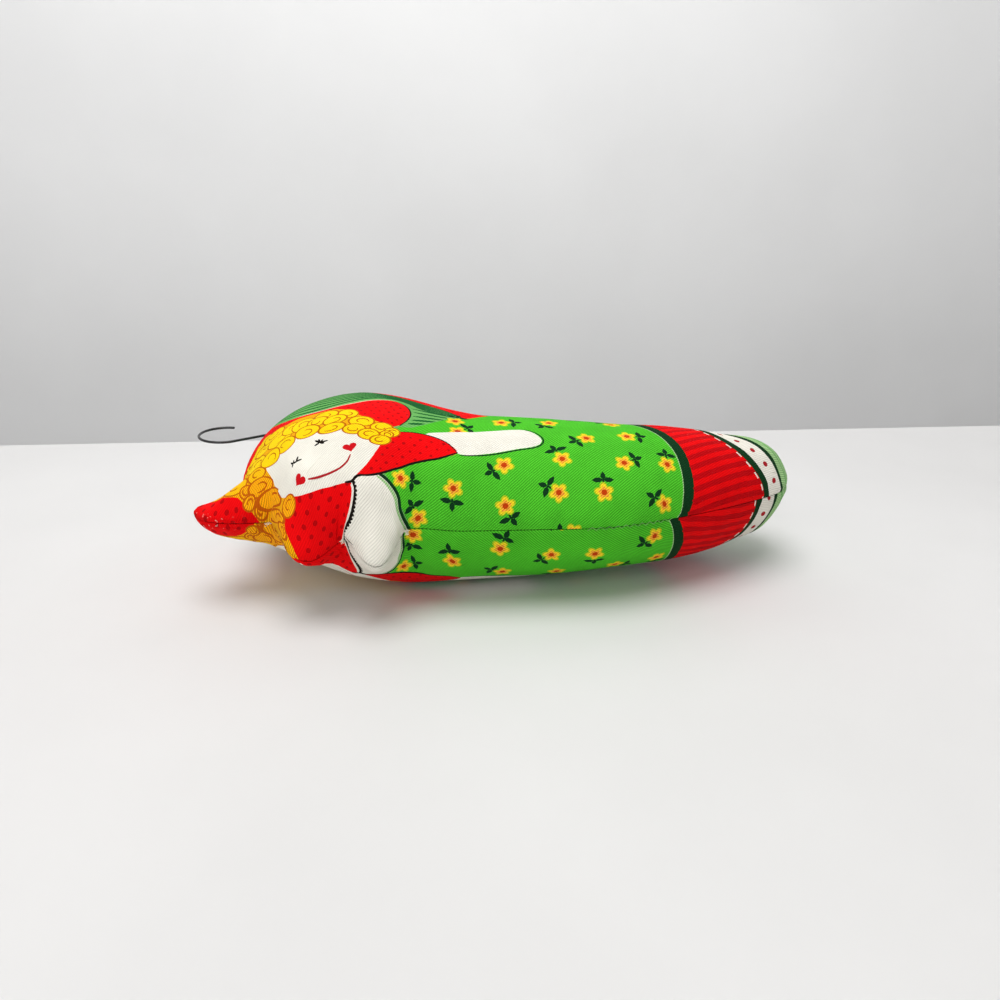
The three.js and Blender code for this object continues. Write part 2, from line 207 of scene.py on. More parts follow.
def smooth(points, step, closed=False):
    """Points about every step along a centripetal Catmull-Rom curve through the given points."""
    p = np.asarray(points, float)
    if closed:
        ring = np.vstack([p[-1:], p, p[:2]])
    else:
        ring = np.vstack([2 * p[:1] - p[1:2], p, 2 * p[-1:] - p[-2:-1]])
    spans = []
    s = np.linspace(0, 1, 24, endpoint=False)[:, None]
    for a, b, c, d in zip(ring, ring[1:], ring[2:], ring[3:]):
        ab, bc, cd = [max(np.linalg.norm(v) ** 0.5, 1e-6) for v in (b - a, c - b, d - c)]
        out = ((b - a) / ab - (c - a) / (ab + bc) + (c - b) / bc) * bc
        into = ((c - b) / bc - (d - b) / (bc + cd) + (d - c) / cd) * bc
        bend = 3 * (c - b) - 2 * out - into
        spans.append(b + out * s + bend * s**2 + (2 * (b - c) + out + into) * s**3)
    line = np.vstack(spans + [p[:1] if closed else p[-1:]])
    run = run_along(line)
    at = np.linspace(0, run[-1], max(3, round(run[-1] / step)) + 1)
    line = np.stack([np.interp(at, run, line[:, k]) for k in range(p.shape[1])], 1)
    return line[:-1] if closed else line


def smoothstep(t):
    t = np.clip(t, 0, 1)
    return t * t * (3 - 2 * t)


def near(points, x, y, reach):
    """1 at a place, falling to 0 at its reach."""
    return 1 - smoothstep(np.linalg.norm(points - (x, y), axis=1) / reach)


def sewn_outline(step):
    """The outline as a smooth line between its notches."""
    lines = []
    for a, b in zip(CORNERS, CORNERS[1:] + CORNERS[:1]):
        run = OUTLINE[a:b + 1] if a < b else OUTLINE[a:] + OUTLINE[:b + 1]
        lines.append(smooth(run, step)[:-1])
    return np.vstack(lines)


def inside(polygon, points):
    x, y = points.T
    hit = np.zeros(len(points), bool)
    for (ax, ay), (bx, by) in zip(polygon, np.roll(polygon, -1, 0)):
        if ay != by:
            hit ^= ((ay > y) != (by > y)) & (x < (bx - ax) * (y - ay) / (by - ay) + ax)
    return hit


def edge_distance(polygon, points):
    """How far each point is from a closed outline, and how far round the outline its nearest place is."""
    after = np.roll(polygon, -1, 0)
    lengths = np.linalg.norm(after - polygon, axis=1)
    starts = np.r_[0, np.cumsum(lengths)[:-1]]
    best = np.full(len(points), np.inf)
    where = np.zeros(len(points))
    for a, b, start, length in zip(polygon, after, starts, lengths):
        t = np.clip((points - a) @ (b - a) / length**2, 0, 1)
        d = np.linalg.norm(points - a - t[:, None] * (b - a), axis=1)
        nearer = d < best
        best[nearer] = d[nearer]
        where[nearer] = start + t[nearer] * length
    return best, where


def grid_inside(polygon, step, margin):
    """Staggered points inside an outline that keep a margin from it."""
    low, high = polygon.min(0), polygon.max(0)
    rows = []
    for row, y in enumerate(np.arange(low[1], high[1], step * ROW_PITCH)):
        xs = np.arange(low[0] + step / 2 * (row % 2), high[0], step)
        rows.append(np.stack([xs, np.full(len(xs), y)], 1))
    points = np.vstack(rows)
    points = points[inside(polygon, points)]
    return points[edge_distance(polygon, points)[0] > margin]


def edge_ring(polygon, by):
    """The outline moved inward, without the points that come too near another part of it."""
    along = unit(np.roll(polygon, -1, 0) - np.roll(polygon, 1, 0))
    points = polygon + by * left_of(along)
    return points[edge_distance(polygon, points)[0] > 0.9 * by]


def triangulate(points, polygons):
    """Delaunay triangles inside the first polygon that keep every polygon's edges: their points, their
    corners and the last polygon over each."""
    found = delaunay_2d_cdt([Vector(p) for p in points], [], polygons, 1, 1e-4, True)
    used = [i for i, over in enumerate(found[5]) if 0 in over]
    corners = np.array([tuple(found[2][i]) for i in used])
    return np.array([tuple(v) for v in found[0]]), corners, [max(found[5][i]) for i in used]


def edges_of(triangles):
    pairs = np.sort(np.vstack([triangles[:, [0, 1]], triangles[:, [1, 2]], triangles[:, [2, 0]]]), 1)
    return np.unique(pairs, axis=0)


def scatter(index, values, count):
    return np.stack([np.bincount(index, values[:, k], count) for k in range(values.shape[1])], 1)


def membrane(points, triangles, edge_count, rounds=600, close=1e-7):
    """The soap-film height over the outline, solved by conjugate gradients."""
    count = len(points)
    corners = points[triangles]
    ends, weights = [], []
    area = np.abs(cross(corners[:, 1] - corners[:, 0], corners[:, 2] - corners[:, 0])) / 2
    for k in range(3):
        u = corners[:, k] - corners[:, k - 1]
        v = corners[:, (k + 1) % 3] - corners[:, k - 1]
        ends.append(triangles[:, [k, (k + 1) % 3]])
        weights.append(0.5 * (u * v).sum(1) / np.maximum(np.abs(cross(u, v)), 1e-9))
    ends, weights = np.vstack(ends), np.concatenate(weights)
    load = np.bincount(triangles.ravel(), np.repeat(4 * area / 3, 3), count)
    diagonal = np.bincount(ends.ravel(), np.repeat(weights, 2), count)
    free = np.arange(count) >= edge_count

    def apply(x):
        flow = weights * (x[ends[:, 0]] - x[ends[:, 1]])
        net = np.bincount(ends[:, 0], flow, count) - np.bincount(ends[:, 1], flow, count)
        return np.where(free, net, 0)

    x = np.zeros(count)
    r = np.where(free, load, 0)
    z = r / diagonal
    p = z
    for _ in range(rounds):
        ap = apply(p)
        step = (r @ z) / (p @ ap)
        x = x + step * p
        left = r - step * ap
        if np.abs(left).max() < close:
            break
        z2 = left / diagonal
        p = z2 + (left @ z2) / (r @ z) * p
        r, z = left, z2
    return x


def swell(plan, phi, distance, puff, lobe_column):
    """The height of a stuffed panel over the seam."""
    x = plan[:, 0]
    toward_head = smoothstep((-x - puff["head_from"]) / (puff["head_to"] - puff["head_from"]))
    toward_tail = smoothstep((x - TAIL_FROM) / TAIL_RUN)
    share = puff["skirt"] + (puff["head"] - puff["skirt"]) * toward_head
    share = share + (puff["tail"] - puff["skirt"]) * toward_tail
    fullness = np.ones(len(plan))
    for lobe in FULL_LOBES:
        fullness += lobe[lobe_column] * near(plan, *lobe[:3])
    return share * fullness * np.sqrt(np.maximum(phi, 0)) * (1 - PINCH * np.exp(-distance / PINCH_WIDTH))


def sag(plan):
    """How far the seam and all that lies in it drops where a lobe hangs."""
    drop = np.zeros(len(plan))
    for x, y, reach, most in SAGS:
        drop += most * near(plan, x, y, reach)
    return drop


def flatten(plan, height, triangles, held=None, rounds=3000, damping=0.9, pace=0.9):
    """The panel as it was cut: let down from its stuffed height step by step, with each edge keeping its
    own length. held is where the outline goes, when another panel has settled that."""
    eased = height
    for x, y, reach, ease in CROWDED:
        eased = eased * (1 - ease * near(plan, x, y, reach))
    solid = np.c_[plan, eased]
    edges = edges_of(triangles)
    a, b = edges.T
    length = np.linalg.norm(solid[a] - solid[b], axis=1)
    low = np.linalg.norm(plan[a] - plan[b], axis=1)
    share = np.bincount(edges.ravel(), minlength=len(plan)).astype(float)[:, None]
    flat = plan.copy()
    speed = np.zeros_like(flat)
    for turn in range(rounds):
        grown = min(1, turn / (0.7 * rounds))
        wanted = np.sqrt(low**2 + grown**2 * (length**2 - low**2))
        span = flat[b] - flat[a]
        now = np.maximum(np.linalg.norm(span, axis=1), 1e-9)
        pull = (0.5 * (1 - wanted / now))[:, None] * span
        move = (scatter(a, pull, len(plan)) - scatter(b, pull, len(plan))) / share
        speed = damping * speed + move
        flat = flat + pace * speed
        if held is not None:
            flat[:EDGE_COUNT] = edge + grown * (held - edge)
    return flat


def vertex_normals(points, triangles):
    corners = points[triangles]
    face = np.cross(corners[:, 1] - corners[:, 0], corners[:, 2] - corners[:, 0])
    total = sum(scatter(triangles[:, k], face, len(points)) for k in range(3))
    return total / np.maximum(np.linalg.norm(total, axis=1), 1e-12)[:, None]


edge = sewn_outline(CLOTH_STEP)
EDGE_COUNT = len(edge)
rings = [edge_ring(edge, d) for d in RIM_RINGS]
plan = np.vstack([edge] + rings + [grid_inside(edge, CLOTH_STEP, RIM_GRID)])
plan, triangles, _ = triangulate(plan, [list(range(EDGE_COUNT))])
distance, around = edge_distance(edge, plan)
phi = membrane(plan, triangles, EDGE_COUNT)
front_height = swell(plan, phi, distance, FRONT_PUFF, 3)
back_height = swell(plan, phi, distance, BACK_PUFF, 4)
back_height = np.minimum(back_height, back_height.max() - REST_CUT)
front_flat = flatten(plan, front_height, triangles)
back_flat = flatten(plan, back_height, triangles, front_flat[:EDGE_COUNT])


# The print, in millimetres on the flat panel.
def ink(code):
    channels = [int(code[i:i + 2], 16) / 255 for i in (0, 2, 4)]
    return tuple(c / 12.92 if c <= 0.04045 else ((c + 0.055) / 1.055) ** 2.4 for c in channels) + (1.0,)


def blended(a, b, share):
    return tuple((1 - share) * np.array(a) + share * np.array(b))


COTTON = ink("f5f1e4")
LEAF_GREEN = ink("50c62c")
WING_GREEN = ink("6fb661")
WING_DARK = ink("12602a")
END_GREEN = ink("a4cf8e")
DARK_GREEN = ink("0f3a1c")
RED = ink("f4060c")
DEEP_RED = ink("c6040e")
DOT_RED = ink("bc040a")
YELLOW = ink("ffdf2a")
FLOWER_EDGE = ink("b4cf24")
FLOWER_RING = ink("ffae3a")
FLOWER_EYE = ink("c8420c")
HAIR_YELLOW = ink("ffd90e")
ORANGE = ink("f8b00c")
AMBER = ink("ff9a10")
PIPING = ink("efc4ae")
CURL_LINE = ink("c46a06")
AMBER_LINE = ink("c85808")
HEART = ink("d3121c")
SMILE = ink("b0262c")
BLACK = ink("1a1511")

chance = np.random.default_rng(11)


def turned(points, degrees, x, y):
    """Points turned about the origin and then moved."""
    c, s = math.cos(math.radians(degrees)), math.sin(math.radians(degrees))
    return np.asarray(points, float) @ np.array([[c, s], [-s, c]]) + (x, y)


def ring(x, y, radius, count, stretch=1.0, lean=0.0):
    """A round shape of count points, stretched along a direction in degrees."""
    angle = np.arange(count) * 2 * math.pi / count
    return turned(np.stack([radius * stretch * np.cos(angle), radius * np.sin(angle)], 1), lean, x, y)


def stroke(points, width, taper=1.0):
    """A line drawn with a pen of the given width, its ends narrowed to taper of it."""
    p = np.asarray(points, float)
    side = left_of(unit(np.gradient(p, axis=0)))
    t = np.linspace(-1, 1, len(p))
    half = width / 2 * (taper + (1 - taper) * np.sqrt(np.maximum(0, 1 - t**2)))[:, None]
    return np.vstack([p - side * half, (p + side * half)[::-1]])


def offset(line, by):
    """The line moved by a distance to its right."""
    return line - by * left_of(unit(np.gradient(line, axis=0)))


def blossom(x, y, radius, petals, turn, count, depth):
    angle = np.arange(count) * 2 * math.pi / count
    reach = radius * (1 - depth + depth * np.abs(np.cos(petals / 2 * angle)))
    return np.stack([x + reach * np.cos(angle + turn), y + reach * np.sin(angle + turn)], 1)


def leaf(x, y, angle, length, width):
    t = np.array([0, 0.3, 0.65, 1.0, 0.65, 0.3])
    w = np.array([0, 0.85, 0.8, 0, -0.8, -0.85])
    c, s = math.cos(angle), math.sin(angle)
    return np.stack([x + c * t * length - s * w * width / 2, y + s * t * length + c * w * width / 2], 1)


def half_plane(line):
    """Everything to the right of a line that runs up the panel."""
    return np.vstack([line, [(120, line[-1][1]), (120, line[0][1])]])


def dotted(region, pitch, radius):
    """Staggered dots that lie inside a region."""
    low, high = region.min(0), region.max(0)
    spots = []
    for row, y in enumerate(np.arange(low[1], high[1], pitch * 0.8)):
        for x in np.arange(low[0] + pitch / 2 * (row % 2), high[0], pitch):
            spots.append((x, y) + chance.uniform(-0.25, 0.25, 2))
    spots = np.array(spots)
    spots = spots[inside(region, spots)]
    spots = spots[edge_distance(region, spots)[0] > radius + 0.25]
    return [ring(x, y, radius * chance.uniform(0.8, 1.15), 8) for x, y in spots]


def red_cloth(lay, region, pitch, radius):
    """A red region with darker dots."""
    lay(RED, region)
    lay(DOT_RED, *dotted(region, pitch, radius))


# Wing: its stripes run from the first line to the second, short ones start beside the bonnet.
STRIPES = 14
STRIPE_PEN = 1.05
SHORT_STRIPE_PEN = 1.0
NEAR_STRIPE = [
    (-94, 33), (-78, 23), (-70, 14), (-64, 7), (-57, 4.2), (-48, 4.2), (-38, 8), (-30, 10.4), (-25.5, 8.4),
    (-22, 5.4), (-17, 4), (-12, 4.6), (-4, 8),
]
FAR_STRIPE = [
    (-92, 56), (-82, 54), (-74, 50), (-66, 46), (-58, 39), (-50, 32), (-42, 26), (-35, 22), (-28, 19.5),
    (-22, 17.5), (-17, 16), (-11, 15), (-4, 14),
]
SHORT_STRIPES = [
    ((-24.8, 4.2), (-12, 2.8)), ((-24, 1.3), (-13, 1.2)), ((-23.8, -1.6), (-15, -0.8)),
    ((-24, -4.2), (-17.4, -2.9)), ((-24.8, -6.6), (-20.3, -5.2)),
]
WING_BAND = [
    (-66, 50), (-54, 33), (-42, 22.5), (-31, 17), (-20, 12), (-12, 6), (-8, 1), (-1, 6), (-6, 14),
    (-14, 19.5), (-27, 25), (-37, 31), (-48, 41), (-59, 57),
]


def wing_print(lay):
    for t in np.linspace(0, 1, STRIPES):
        line = smooth((1 - t) * np.array(NEAR_STRIPE) + t * np.array(FAR_STRIPE), 2)
        lay(WING_DARK, stroke(line, STRIPE_PEN, 0.25))
    for root, tip in SHORT_STRIPES:
        lay(WING_DARK, stroke(np.linspace(root, tip, 6), SHORT_STRIPE_PEN, 0.3))
    band = smooth(WING_BAND, 2, True)
    lay(DARK_GREEN, offset(band, 0.5))
    red_cloth(lay, band, 3.4, 0.5)


# Skirt: its flowers that show on the front, each with the direction of its leaves in degrees.
SKIRT = [
    (-21.4, -60), (-21.4, -38), (-24.5, -34.3), (-29.6, -27.2), (-34, -20), (-27, -8.8), (-23.6, -8.3),
    (-18, -3.6), (-13.7, 0.8), (-8, 3.4), (-3, 9), (0, 18), (2, 30), (2, 60), (62, 60), (62, -60),
]
FLOWERS = [
    (2.3, -18.5, 215), (18, -15, 120), (35.3, -13.8, 30), (47.9, -11.5, 95), (25, -5.2, 215), (37, -1.5, 5),
    (-25.7, -27, 0), (-10.7, -26.6, 270), (3.7, -30, 300), (17.6, -25.4, 155), (30, -24, 100),
    (48.3, -23.3, 165), (-18.9, -36.6, 125), (23, -36, 190), (15, 4.2, 240), (1, 1.5, 10), (-12, -0.4, 80),
    (-11, -6.6, 40), (34, 9, 140),
]
STEM = 3.6
STEM_PEN = 0.55
LEAF_WIDTH = 1.7

# How far each leaf of a flower spreads, in degrees, and its length.
LEAVES = ((-100, 3.4), (8, 2.6), (95, 3.2))

# The flower's layers from the edge in: colour, radius, points and how deep its petals are cut.
PETALS = ((FLOWER_EDGE, 2.95, 30, 0.36), (YELLOW, 2.5, 30, 0.42), (FLOWER_RING, 1.8, 10, 0.3))
FLOWER_EYE_RADIUS = 0.85

# Rows of flowers on the far side of the skirt: a row's start, end and pitch, then the rows.
FAR_FLOWERS = (5, 40, 15.5)
FAR_STAGGER = 7.7
FAR_ROW = 14
FAR_ROW_PITCH = 9.5


def skirt_print(lay):
    lay(LEAF_GREEN, np.array(SKIRT, float))
    flowers = list(FLOWERS)
    for row in range(3):
        for x in np.arange(*FAR_FLOWERS):
            across = x + FAR_STAGGER * (row % 2)
            flowers.append((across, FAR_ROW + FAR_ROW_PITCH * row, chance.uniform(0, 360)))
    for x, y, side in flowers:
        turn = chance.uniform(0, 2 * math.pi)
        root = turned([(STEM, 0)], side, x, y)[0]
        lay(DARK_GREEN, stroke(np.linspace((x, y), root, 4), STEM_PEN))
        for spread, length in LEAVES:
            lean = math.radians(side + spread + chance.uniform(-16, 16))
            lay(DARK_GREEN, leaf(*root, lean, length * chance.uniform(0.9, 1.1), LEAF_WIDTH))
        for colour, radius, count, depth in PETALS:
            lay(colour, blossom(x, y, radius, 5, turn, count, depth))
        lay(FLOWER_EYE, ring(x, y, FLOWER_EYE_RADIUS, 7))


# Hem, pleated petticoat, dotted border and feet. The bands are measured from the hem or the border.
PLEAT = 3.1
PLEAT_LEAN = math.radians(36)
PLEAT_LENGTH = 60
HEM_PALE = -0.3
HEM_BAND = 3.2
DASH_LINE = 0.3
DASH_PEN = 0.55
DOT_LINE = 6.8
DOT_PITCH = 5.4
DOT_RADIUS = 0.9
BORDER_BANDS = ((DARK_GREEN, 0.8), (COTTON, 3.6))
FEET_BANDS = ((DARK_GREEN, 10.0), (END_GREEN, 12.0))
FEET_STRIPES = (15, 18.5, 22)
FEET_PEN = 0.9
HEM = smooth([
    (53, -32), (54.5, -24), (53.9, -18), (52.4, -12), (50.2, -5.3), (47.2, 0.7), (44.2, 5.2), (41, 11),
    (38.5, 18), (37.5, 28), (38, 46),
], 2)
BORDER = smooth([
    (95, -15), (88, -9.6), (83.6, -6.8), (80.3, -4.6), (75.8, -1.9), (71.2, 1.1), (66.7, 4.5), (62.3, 8.5),
    (59.4, 13.5), (58, 20), (57.5, 30), (58, 46),
], 2)


def hem_print(lay):
    lay(END_GREEN, half_plane(offset(HEM, HEM_PALE)))
    lay(DARK_GREEN, half_plane(HEM))
    petticoat = offset(HEM, HEM_BAND)
    lay(RED, half_plane(petticoat))
    rise = np.array([math.cos(PLEAT_LEAN), math.sin(PLEAT_LEAN)])
    across = petticoat @ (-rise[1], rise[0])
    for at in np.arange(across[0], across[-1], PLEAT):
        start = np.array([np.interp(at, across, petticoat[:, k]) for k in (0, 1)])
        lay(DEEP_RED, stroke(start + rise * np.linspace(0, PLEAT_LENGTH, 16)[:, None], PLEAT / 2))
    dashes = smooth(offset(BORDER, DASH_LINE), 1)
    for i in range(0, len(dashes) - 3, 4):
        lay(COTTON, stroke(dashes[i:i + 3], DASH_PEN))
    for colour, by in BORDER_BANDS:
        lay(colour, half_plane(offset(BORDER, by)))
    for x, y in smooth(offset(BORDER, DOT_LINE), DOT_PITCH):
        lay(SMILE, ring(x, y, DOT_RADIUS, 9))
    for colour, by in FEET_BANDS:
        lay(colour, half_plane(offset(BORDER, by)))
    for by in FEET_STRIPES:
        lay(WING_GREEN, stroke(offset(BORDER, by), FEET_PEN))


# Bonnet, mitten, bodice and sleeves.
BONNET_EDGE = [
    (-96, 30), (-80, 21), (-72.4, 13.8), (-69, 8), (-65.1, 4.2), (-60, 2.6), (-54, 2.1), (-48.3, 2),
    (-42.8, 3.4), (-37.3, 5.9), (-32.9, 7.7), (-30.2, 8.2), (-27.4, 6.3), (-25.5, 3), (-24.7, -1.4),
    (-25.5, -5.2), (-27.1, -8.2),
]
BONNET_REST = [
    (-32, -11), (-40, -6), (-48, -3), (-60, -3), (-72, -12), (-80, -16), (-90, -20), (-102, -20),
    (-102, 10),
]
MITTEN = [
    (-19.9, -10.4), (-13.7, -7.6), (-7, -6.1), (-0.2, -4.2), (7.3, -3.1), (10.3, -4.6), (12.4, -7.9),
    (11.4, -10.2), (5.1, -12.8), (-2.4, -15.1), (-10, -16.2), (-15, -14),
]
BODICE_EDGE = [
    (-32, -26.3), (-30.2, -27.5), (-27.9, -29.5), (-26.1, -31.7), (-24.8, -34.8), (-23.3, -36.8),
    (-20.3, -40),
]
BODICE_REST = [(-22, -44), (-28, -52), (-40, -52), (-48, -45), (-42, -28), (-38, -24)]
FAR_SLEEVE = [
    (-38.3, -27.2), (-38, -22), (-33, -14), (-26.6, -11), (-22.5, -10.4), (-18.1, -10.7), (-13.7, -12.4),
    (-10.5, -15.8), (-15.3, -18.4), (-20.3, -20.7), (-26.3, -23.9), (-30.7, -26), (-34.6, -27),
]
SLEEVE_EDGE = [
    (-39.9, -28.5), (-39.2, -30.4), (-39.4, -33.2), (-40.3, -36.4), (-42.4, -39.6), (-45.8, -43.4),
]
NEAR_SLEEVE_REST = [
    (-50, -50), (-57, -46), (-58.3, -39.2), (-59.3, -37.5), (-60.4, -35), (-60.8, -32.8), (-57.7, -30.5),
    (-54, -26), (-42, -26),
]
SLEEVE_TRIM = smooth(SLEEVE_EDGE, 0.9)
BONNET_PEN = 0.9
MITTEN_PEN = 0.55


def dress_print(lay):
    bonnet = np.vstack([smooth(BONNET_EDGE, 1.5), BONNET_REST])
    lay(PIPING, stroke(smooth(BONNET_EDGE[5:12], 1.2), BONNET_PEN, 0.3))
    lay(BLACK, stroke(smooth(BONNET_EDGE[11:], 1.2), BONNET_PEN, 0.5))
    red_cloth(lay, bonnet, 2.6, 0.42)
    lay(DARK_GREEN, stroke(offset(smooth(MITTEN[4:11], 1.2), -0.45), MITTEN_PEN, 0.4))
    lay(COTTON, smooth(MITTEN, 1.5, True))
    bodice_edge = smooth(BODICE_EDGE, 1.2)
    lay(COTTON, np.vstack([bodice_edge, BODICE_REST]))
    lay(END_GREEN, stroke(offset(bodice_edge, 0.9), 0.8, 0.5))
    lay(DARK_GREEN, stroke(bodice_edge, 0.9))
    red_cloth(lay, smooth(FAR_SLEEVE, 1.5, True), 3.0, 0.45)
    lay(BLACK, stroke(smooth(FAR_SLEEVE[7:] + [(-37.5, -27.2)], 1.2), 0.75, 0.5))
    lay(BLACK, stroke(smooth(FAR_SLEEVE[3:8], 1.2), 0.4, 0.4))
    red_cloth(lay, np.vstack([SLEEVE_TRIM, NEAR_SLEEVE_REST]), 3.3, 0.6)


# Head. The upper curls come first: the middle of each, half its length, half its width and the lean of its
# length in degrees.
HAIR = [
    (-28, -12.5), (-27.2, -10), (-31, -8.3), (-35, -6.5), (-39.5, -3.4), (-41.5, -1), (-46, 0.6), (-54, 1),
    (-60, 1), (-65, 0.3), (-69, 1.5), (-73, 2.6), (-78.8, 3.2), (-82.2, -0.2), (-81.5, -6), (-79.3, -12.5),
    (-81, -14.8), (-86, -15.8), (-90, -18), (-84, -24), (-74, -31), (-62, -46), (-57.2, -44),
    (-58.3, -39.2), (-59.3, -37.5), (-60.4, -35), (-60.8, -32.8), (-57.7, -30.5), (-55, -27), (-46, -18),
    (-33, -15.5),
]
FACE = [
    (-31.6, -15.2), (-32.9, -19.5), (-35.1, -23.4), (-37.9, -26.9), (-40.1, -28.6), (-41.8, -28.8),
    (-45.5, -28.7), (-49.1, -28.1), (-51.9, -28.1), (-55, -28.3), (-59.8, -27.8), (-64.2, -26.6),
    (-67.5, -24.5), (-69.2, -21.7), (-70.5, -18.4), (-70.4, -16.2), (-65.3, -14.6), (-62, -12.8),
    (-58.7, -10.2), (-54.3, -9.6), (-47.7, -9.6), (-43.9, -10.2), (-40, -11.4), (-36.8, -13.4),
]
BOW = [
    (-98, -14), (-88, -17.5), (-82.7, -19.9), (-81.1, -20.3), (-79.2, -20.9), (-78.1, -21.8),
    (-76.2, -23.8), (-74.9, -25.4), (-74.1, -26.8), (-76, -33), (-98, -30),
]
CURLS = [
    (-84, -4, 4.5, 3.4, 70), (-77.5, -1, 5.5, 3.4, 30), (-78, -7.6, 5, 3.4, 60),
    (-73.4, -5.6, 4.6, 3.2, 20), (-67, -7.3, 5.6, 3.7, 0), (-71, -1.6, 4.6, 3, 10), (-62, -4.4, 4.4, 3, 5),
    (-56.8, -4.3, 4.7, 3.1, 12), (-48.6, -2.2, 3.6, 2.4, 4), (-41.9, -2.8, 2.9, 2.2, -20),
    (-51.2, -4.6, 3.4, 2.2, 8), (-45.4, -5.4, 3.4, 2.1, 10), (-37.6, -7.2, 3.5, 2.3, -10),
    (-31.8, -9.9, 3, 2.1, 0), (-28.9, -11.6, 2.2, 1.8, 12), (-75.4, -13, 4.4, 2.8, -40),
    (-62.9, -11.7, 4.5, 2.8, 12), (-54.2, -8.3, 4.5, 2.6, 3), (-45.8, -9.1, 3.8, 2.1, 6),
    (-39.3, -10.7, 3.1, 2.1, -7), (-30.2, -12.6, 1.9, 1.4, 0), (-35.1, -12.9, 2.9, 2.1, -8),
    (-31.8, -14.9, 2.8, 1.8, 5), (-68.6, -14.6, 3.9, 2.9, 8), (-86, -17.4, 3, 1.5, -10),
    (-80.9, -17.6, 3.8, 2.3, -7), (-73.9, -17.6, 3.1, 2, -25), (-76.8, -20.4, 2.2, 1.4, -30),
    (-72.6, -21.6, 3.9, 1.9, -28), (-75.9, -22.9, 1.8, 1.4, -20), (-73.2, -25.4, 1.7, 1.1, -30),
    (-64.6, -31, 4.4, 1.5, -28), (-68.2, -26, 5.8, 1.6, -20), (-62.2, -35, 2.6, 1.4, -50),
    (-58.4, -30, 2.8, 2.2, 35),
]
CURL_SIZE = 1.12
CURL_PEN = 0.34
COIL_PEN = 0.4

# Curls left of AMBER_SIDE turn amber from AMBER_FROM down.
AMBER_SIDE = -55
AMBER_FROM = -14
AMBER_RUN = 7
AMBER_SHARE = 0.75


def head_print(lay):
    lay(ORANGE, np.array(HAIR))
    lay(COTTON, smooth(FACE, 1.2, True))
    red_cloth(lay, np.array(BOW), 3.1, 0.65)
    for x, y, along, across, lean in CURLS:
        shape = {"stretch": along / across, "lean": lean}
        amber = AMBER_SHARE * smoothstep((AMBER_FROM - y) / AMBER_RUN) if x < AMBER_SIDE else 0
        line = blended(CURL_LINE, AMBER_LINE, amber)
        lay(line, ring(x, y, across * CURL_SIZE, 20, **shape))
        lay(blended(HAIR_YELLOW, AMBER, amber), ring(x, y, across * CURL_SIZE - CURL_PEN, 20, **shape))
        sweep = chance.uniform(0, 2 * math.pi) + np.linspace(0, 4.2, 16)
        coil = np.stack([along * np.cos(sweep), across * np.sin(sweep)], 1)
        coil = np.linspace(0.62, 0.3, 16)[:, None] * coil
        lay(line, stroke(turned(coil, lean, x, y), COIL_PEN, 0.4))


# Small lines. A fan of lashes is where they start and where each ends, a heart is its place, the way it
# points in degrees and its size.
LASHES = [
    ((-48.6, -14.4), [(-50.2, -13), (-49.1, -12.9), (-47.7, -13.4), (-46.2, -14.2), (-50.1, -15.1),
                      (-47.2, -15)]),
    ((-56.6, -19.4), [(-58.3, -19), (-56.4, -18.1), (-57, -20.5), (-54.8, -18.9)]),
    ((-55.2, -18.9), [(-55, -17.2), (-53.6, -18.5), (-56.6, -19.4)]),
]
SMILE_LINE = [
    (-51.3, -25.3), (-47.9, -25.7), (-45.2, -25.6), (-42.5, -24.7), (-40.5, -22.8), (-39.6, -20.4),
]
HEARTS = [(-53.9, -24.8, 48, 1.05), (-39.9, -17.8, 105, 1.08)]
ARMPIT_LINE = [(-41.4, -28.6), (-39.4, -28.6), (-38, -27.4), (-36, -27)]
BODICE_DASH = [(-42.7, -41.9), (-41.6, -42.9), (-40.5, -43.8)]
HEART_SCALE = 0.115
HEART_TALL = 0.88


def line_print(lay):
    lay(COTTON, stroke(offset(SLEEVE_TRIM[1:], 0.1), 0.8, 0.6))
    lay(BLACK, stroke(offset(SLEEVE_TRIM, -0.55), 0.75, 0.6))
    for x, y in offset(SLEEVE_TRIM, -0.85)[1:-1]:
        lay(BLACK, ring(x, y, 0.42, 6))
    lay(BLACK, stroke(smooth(ARMPIT_LINE, 0.8), 0.8, 0.4))
    for root, tips in LASHES:
        lay(BLACK, *[stroke(np.linspace(root, tip, 5), 0.65, 0.3) for tip in tips])
    lay(BLACK, stroke(BODICE_DASH, 0.5, 0.4))
    lay(SMILE, stroke(smooth(SMILE_LINE, 0.9), 0.62, 0.5))
    t = np.arange(18) * 2 * math.pi / 18
    wide = 16 * np.sin(t) ** 3
    tall = 13 * np.cos(t) - 5 * np.cos(2 * t) - 2 * np.cos(3 * t) - np.cos(4 * t)
    for x, y, up, size in HEARTS:
        heart = np.stack([wide, HEART_TALL * tall], 1) * size * HEART_SCALE
        lay(HEART, turned(heart, up - 90, x, y))


# On the back the face reaches further under the sleeve.
BACK_CHEEK = [
    (-66, -26), (-56.5, -39.5), (-53, -35), (-49.8, -35.3), (-45.5, -31.8), (-42, -28), (-50, -24),
]


def figure_print():
    """The whole print as shapes in the order they are laid down, each with its colour."""
    layers = []

    def lay(colour, *shapes):
        layers.extend((shape, colour) for shape in shapes)

    for part in (wing_print, skirt_print, hem_print, dress_print, head_print, line_print):
        part(lay)
    return layers


def anticlockwise(shape):
    x, y = shape.T
    return shape if x @ np.roll(y, -1) - y @ np.roll(x, -1) > 0 else shape[::-1]


